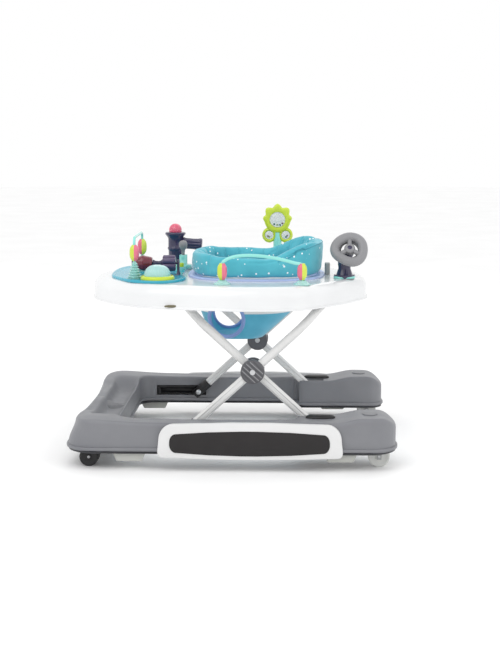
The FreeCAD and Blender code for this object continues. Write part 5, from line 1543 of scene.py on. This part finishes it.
@dataclass
class RollerToy:
    """Two posts with a shaft that carries a clear red cone and a fluted purple gear."""

    y: float = -58.0
    z: float = 428.96
    drum_x: tuple[float, float] = (-230.0, -190.0)
    gear_x: tuple[float, float] = (-166.0, -136.0)

    def lie(self, bm: bmesh.types.BMesh, x: float) -> None:
        """Turn a mesh's Z axis along the walker and put it on the shaft."""
        placed(bm, (x, self.y, self.z), Vector((1, 0, 0)))

    def build(self) -> None:
        """Make the posts, the shaft, the drum and the gear."""
        bm = bmesh.new()
        for x in (-235.0, -130.0):
            post = bmesh.new()
            rings = []
            for up, half in ((402.0, 11.0), (404.0, 9.6), (412.0, 8.0), (424.0, 7.0), (431.0, 7.0),
                             (435.5, 5.0),
                             (436.8, 2.6)):
                rings.append(superellipse(3.0 + 2.0 * smoothstep(412 - up, 0, 10), half, (x, self.y), up,
                                          3.0, 40))
            skin(post, rings, True, True)
            join_in(bm, post)
        shaft = bmesh.new()
        turn(shaft, [(0, 0), (2.8, 0), (3.0, 0.4), (3.0, 107), (2.8, 107.4), (0, 107.4)], 24)
        self.lie(shaft, -236.0)
        join_in(bm, shaft)
        middle = bmesh.new()
        turn(middle, [(3.0, 0), (7.5, 0.4), (8.0, 2), (5.4, 6), (4.8, 14), (5.6, 18), (8.6, 21.4), (8.6,
                                                                                                    22.6),
                      (3.0, 23),
                      (3.0, 0)], 32)
        self.lie(middle, -189.0)
        join_in(bm, middle)
        Piece("roller_stand", "tray", Finish.NAVY, "navy", ("roller_posts",)).make(bm)
        bm = bmesh.new()
        turn(bm, [(3.2, 0), (10.6, 0), (12.0, 1.0), (14.6, 7), (17.2, 15), (18.0, 18), (18.0, 21), (17.0, 24),
                  (15.4, 32), (14.2, 37), (13.0, 39.4), (11.6, 40), (3.2, 40), (3.2, 0)], 48)
        self.lie(bm, self.drum_x[0])
        Piece("ruby_drum", "roller_drum", Finish.RUBY, "red_clear", ("roller_drum",)).make(bm)
        bm = bmesh.new()
        rings = [lobed(3.2, 0.0, 6, 0.0), lobed(13.0, 1.2, 6, 0.0, soft=0.6),
                 lobed(14.6, 2.6, 6, 1.2, soft=0.6),
                 lobed(15.4, 3.0, 6, 3.0, soft=0.6), lobed(15.6, 3.0, 6, 15.0, soft=0.6),
                 lobed(15.4, 3.0, 6, 27.0, soft=0.6), lobed(14.6, 2.6, 6, 28.8, soft=0.6),
                 lobed(13.0, 1.2, 6, 30.0, soft=0.6), lobed(3.2, 0.0, 6, 30.0)]
        skin(bm, rings + rings[:1])
        bmesh.ops.remove_doubles(bm, verts=bm.verts, dist=0.01 * MM)
        self.lie(bm, self.gear_x[0])
        Piece("fluted_gear", "roller_gear", Finish.PURPLE, "purple", ("roller_gear",), 0.8).make(bm)


@dataclass
class Periscope:
    """A navy flared post with a fluted side arm and a pink ball in its cup."""

    x: float = -155.04
    y: float = 160.0

    def build(self) -> None:
        """Make the post with its arm, and the ball."""
        bm = bmesh.new()
        turn(bm, [(0, 402), (22, 402), (22.4, 403.2), (21.0, 406), (18.6, 409), (17.4, 416), (17.4, 436),
                  (17.8, 440),
                  (19.4, 442), (19.4, 446), (18.0, 448), (18.0, 466), (18.8, 470), (21.6, 474), (24.8, 478),
                  (25.4, 480.4), (24.6, 482.4), (22.4, 483.6), (17.0, 484.0), (16.4, 482.6), (14.4, 480.0),
                  (0, 473.0)], 56)
        for vert in bm.verts:
            x, y, z = vert.co / MM
            if 444 < z < 470 or 408 < z < 438:
                angle = math.atan2(y, x)
                reach = 1 - 0.035 * abs(math.sin(6 * angle)) ** 4
                vert.co.x, vert.co.y = vert.co.x * reach, vert.co.y * reach
        bmesh.ops.translate(bm, verts=bm.verts, vec=Vector((self.x, self.y, 0)) * MM)
        arm = bmesh.new()
        rings = []
        for along, radius, depth in ((0, 11.0, 0.0), (15, 11.6, 0.2), (18, 14.0, 0.4), (21, 13.8, 1.0),
                                     (26, 12.2, 1.1),
                                     (44, 12.0, 1.1), (56, 12.8, 1.1), (60, 14.4, 0.8), (63, 14.8, 0.3),
                                     (65.4, 14.0, 0.1), (66, 12.0, 0.0)):
            rings.append(lobed(radius, depth, 8, along, 96, soft=0.7))
        skin(arm, rings, True, True)
        placed(arm, (self.x, self.y, 457.96), Vector((1, 0, -0.08)))
        join_in(bm, arm)
        Piece("periscope_post", "tray", Finish.NAVY, "navy", ("periscope",), 0.7).make(bm)
        bm = bmesh.new()
        bmesh.ops.create_icosphere(bm, subdivisions=4, radius=15.9 * MM)
        bmesh.ops.translate(bm, verts=bm.verts, vec=Vector((self.x, self.y, 488.96)) * MM)
        Piece("pink_ball", "scope_ball", Finish.PINK_SPECKLED, "bead_pink", ("scope_ball",)).make(bm)


@dataclass
class LeverToy:
    """A pale mount with a grey gear-stick knob."""

    x: float = -130.54
    y: float = 92.0

    def build(self) -> None:
        """Make the knob."""
        bm = bmesh.new()
        turn(bm, [(0, 0), (3.4, 0), (3.6, 14), (4.6, 20), (7.6, 23.5), (9.6, 28), (10.2, 33), (9.4, 38),
                  (6.6, 41.4),
                  (3.0, 42.6), (0, 42.8)], 40)
        bmesh.ops.translate(bm, verts=bm.verts, vec=Vector((self.x, self.y, 426)) * MM)
        hub = bmesh.new()
        turn(hub, [(2.6, -4.4), (6.6, -4.4), (7.0, -4.0), (7.0, 4.0), (6.6, 4.4), (2.6, 4.4), (2.6, -4.4)],
             36)
        placed(hub, (self.x, self.y, 426.96), Vector((0, 1, 0)))
        join_in(bm, hub)
        Piece("gear_stick", "lever", Finish.WHEEL_GREY, "grey_plastic", ("lever_knob",)).make(bm)


@dataclass
class FlowerRattle:
    """A lime sun-flower rattle with clear windows, loose beads, two leaves and a pale stem."""

    x: float = 95.96
    y: float = 200.0
    z: float = 511.96

    def ring_body(self, bm: bmesh.types.BMesh, at: tuple[float, float], outer: Callable[[float], float],
                  hole: float, half: float) -> None:
        """Add a thick flat ring that faces the child.

        Args:
            bm: the mesh being built.
            at: the ring's middle as (x, z) in millimetres.
            outer: outside radius in millimetres for an angle.
            hole: the hole's radius in millimetres.
            half: half the thickness in millimetres.
        """
        part = bmesh.new()
        rings = []
        for inset, up in ((None, -half + 2.4), (1.5, -half + 0.4), (6.0, -half - 0.4), (4.0, -half),
                          (1.2, -half + 1.6),
                          (0.0, -half + 4.4), (0.0, half - 4.4), (1.2, half - 1.6), (4.0, half),
                          (6.0, half + 0.4),
                          (1.5, half - 0.4), (None, half - 2.4)):
            ring = []
            for k in range(144):
                angle = FULL_TURN * k / 144
                full = outer(angle)
                if inset is None:
                    reach = hole
                elif inset == 1.5:
                    reach = hole + 1.2
                elif inset == 6.0:
                    reach = hole + (full - hole) * 0.42
                else:
                    reach = full - inset
                ring.append((reach * math.cos(angle), reach * math.sin(angle), up))
            rings.append(ring)
        skin(part, rings + rings[:1])
        bmesh.ops.remove_doubles(part, verts=part.verts, dist=0.01 * MM)
        bmesh.ops.transform(part, matrix=Matrix.Translation(Vector((at[0], self.y, at[1])) * MM)
                            @ Matrix.Rotation(math.pi / 2, 4, "X"), verts=part.verts)
        join_in(bm, part)

    def sun(self, angle: float) -> float:
        """Outside radius of the sun: pointed petals over the top, a plain round below."""
        up = math.sin(angle)
        petals = smoothstep(up, -0.25, 0.35)
        point = abs(math.cos(4.0 * (angle - math.pi / 2))) ** 1.6
        return 32.4 + petals * (7.6 * point - 0.6)

    def build(self) -> None:
        """Make the flower, the windows, the beads and the stem."""
        bm = bmesh.new()
        self.ring_body(bm, (self.x, self.z), self.sun, 19.0, 10.6)
        for side in (-20.5, 20.5):
            self.ring_body(bm, (self.x + side, self.z - 38),
                           lambda angle: 19.0 - 1.5 * abs(math.cos(angle)), 10.4, 8.6)
        neck = bmesh.new()
        turn(neck, [(5.2, 440), (10.2, 440), (10.6, 441.5), (10.2, 462), (9.0, 476), (8.0, 486), (5.2, 486),
                    (5.2, 440)], 40)
        bmesh.ops.translate(neck, verts=neck.verts, vec=Vector((self.x, self.y, 0)) * MM)
        Piece("rattle_neck", "flower", Finish.MINT, "mint").make(neck)
        Piece("sun_rattle", "flower", Finish.LIME, "lime", ("flower_rattle",), 0.8).make(bm)
        bm = bmesh.new()
        for dx, dz, radius in ((0, 0, 19.2), (-20.5, -38, 10.6), (20.5, -38, 10.6)):
            for sign in (-1, 1):
                lens = bmesh.new()
                rise = radius * 0.28
                turn(lens, [(0, rise), (radius * 0.35, rise * 0.93), (radius * 0.7, rise * 0.62), (radius, 0),
                            (radius, -1.0), (radius * 0.7, rise * 0.62 - 1.0),
                            (radius * 0.35, rise * 0.93 - 1.0),
                            (0, rise - 1.0)], 40)
                placed(lens, (self.x + dx, self.y + sign * 6.4, self.z + dz), Vector((0, sign, 0)))
                join_in(bm, lens)
        Piece("rattle_windows", "flower", Finish.CLEAR, "clear_plastic", ("flower_windows",)).make(bm)
        colours = ((Finish.TURQUOISE, "turquoise", ((-8, -11, 0), (6, -13, 2), (21, -43, 0))),
                   (Finish.LIME, "lime", ((-1, -13, -3), (-20, -43, 1))),
                   (Finish.PINK, "bead_pink", ((12, -9, 0), (-24, -41, -1), (24, -40, 1))))
        for finish, slot, spots in colours:
            bm = bmesh.new()
            for dx, dz, dy in spots:
                grain = bmesh.new()
                bmesh.ops.create_icosphere(grain, subdivisions=2, radius=2.6 * MM)
                bmesh.ops.translate(grain, verts=grain.verts,
                                    vec=Vector((self.x + dx, self.y + dy, self.z + dz)) * MM)
                join_in(bm, grain)
            Piece(f"rattle_beads_{slot}", "flower", finish, slot).make(bm)
        bm = bmesh.new()
        turn(bm, [(0, 398.1), (17, 398.1), (17.6, 399.2), (16.6, 401.4), (11, 405), (7, 409), (5.4, 413),
                  (5.0, 418),
                  (5.0, 461.6), (0, 461.9)], 48)
        bmesh.ops.translate(bm, verts=bm.verts, vec=Vector((self.x, self.y, 0)) * MM)
        Piece("flower_stalk", "tray", Finish.MINT, "mint", ("flower_stem",)).make(bm)


@dataclass
class SteeringToy:
    """A navy console on a pale foot with a thick grey three-lobed wheel and a lime star key."""

    x: float = 251.96
    y: float = -76.0
    wheel_at: tuple[float, float, float] = (261.96, -104.0, 465.96)
    axis: tuple[float, float, float] = (0.0, -0.8211, 0.5708)

    def build(self, nodes: dict[str, bpy.types.Object]) -> None:
        """Make the foot, the console, the wheel, a dark ring of painted shade behind its rim, and the key."""
        bm = bmesh.new()
        rings = []
        for half, z in ((24.0, 398.1), (25.0, 399.0), (24.6, 401.4), (22.6, 403.6), (20.0, 404.6)):
            rings.append(superellipse(half, half - 1, (self.x, self.y), z, 2.4, 64))
        skin(bm, rings, True, True)
        Piece("console_foot", "tray", Finish.MINT, "mint").make(bm)
        Piece("console_body", "tray", Finish.NAVY, "navy", ("steering_console",)).make(
            merged_copy(nodes["steering_console"], 1.2), outward=False)
        bm = bmesh.new()
        path = []
        for k in range(96):
            angle = FULL_TURN * k / 96
            reach = 32.0 + 1.6 * math.cos(3 * angle + math.pi)
            path.append((reach * math.cos(angle), reach * math.sin(angle), 1.4 * math.cos(3 * angle)))
        tube(bm, path, 10.6, True, 24)
        hub = bmesh.new()
        turn(hub, [(5.2, -7), (11, -7), (12.4, -5.6), (12.4, 4), (11.6, 6.6), (9.0, 8.4), (5.2, 9.0), (5.2,
                                                                                                       -7)],
             40)
        join_in(bm, hub)
        for k in range(3):
            angle = FULL_TURN * k / 3 + math.pi / 2
            spoke = bmesh.new()
            tube(spoke, [(10 * math.cos(angle), 10 * math.sin(angle), 1),
                         (20 * math.cos(angle), 20 * math.sin(angle), 0.6),
                         (29 * math.cos(angle), 29 * math.sin(angle), 0)], 5.4, sides=16)
            join_in(bm, spoke)
        placed(bm, self.wheel_at, Vector(self.axis))
        # Dark grey dish behind the rim: painted shade, a dark sheet standing in for the shaded inside of the
        # rim's far side.
        dish = bmesh.new()
        turn(dish, [(19, -7.5), (29, -5.5), (30.5, -3.5), (30.5, -1.0), (27, -2.5), (19, -4.5), (19, -7.5)],
             56)
        placed(dish, self.wheel_at, Vector(self.axis))
        Piece("wheel_painted_shade_ring", "steering_wheel", Finish.WHEEL_DARK, "dark_grey").make(dish)
        Piece("grey_wheel", "steering_wheel", Finish.WHEEL_GREY, "grey_plastic", ("steering_wheel",),
              0.7).make(bm)
        bm = bmesh.new()
        rings = [lobed(1.0, 0, 6, 0.0), lobed(9.6, 3.4, 6, 0.0, soft=1.4), lobed(10.6, 3.8, 6, 1.2, soft=1.4),
                 lobed(10.6, 3.8, 6, 5.2, soft=1.4), lobed(9.4, 3.2, 6, 6.6, soft=1.4),
                 lobed(5.0, 0.4, 6, 7.4),
                 lobed(1.0, 0, 6, 7.6)]
        skin(bm, rings, True, True)
        placed(bm, (self.x, -50.4, 425.96), Vector((0, 1, 0)))
        post = bmesh.new()
        turn(post, [(0, 0), (4, 0), (4, 11.5), (0, 11.5)], 32)
        placed(post, (self.x, -61.1, 425.96), Vector((0, 1, 0)))
        join_in(bm, post)
        Piece("star_key", "console_key", Finish.LIME, "lime", ("console_key",), 0.6).make(bm)


def main() -> None:
    """Load the frame and dress it piece by piece."""
    logging.basicConfig(level=logging.INFO, format="%(name)s %(message)s")
    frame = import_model()
    nodes = frame["nodes"]
    Studio().build()
    CarriedParts().build(nodes)
    BaseMoulding().build()
    BaseFittings().build(nodes)
    Wheels().build(nodes)
    CrossingCovers().build(nodes)
    Tray().build()
    Seat().build(nodes)
    ActivityPlate().build()
    BeadToys().build()
    RollerToy().build()
    Periscope().build()
    LeverToy().build()
    FlowerRattle().build()
    SteeringToy().build(nodes)


if __name__ == "__main__":
    main()
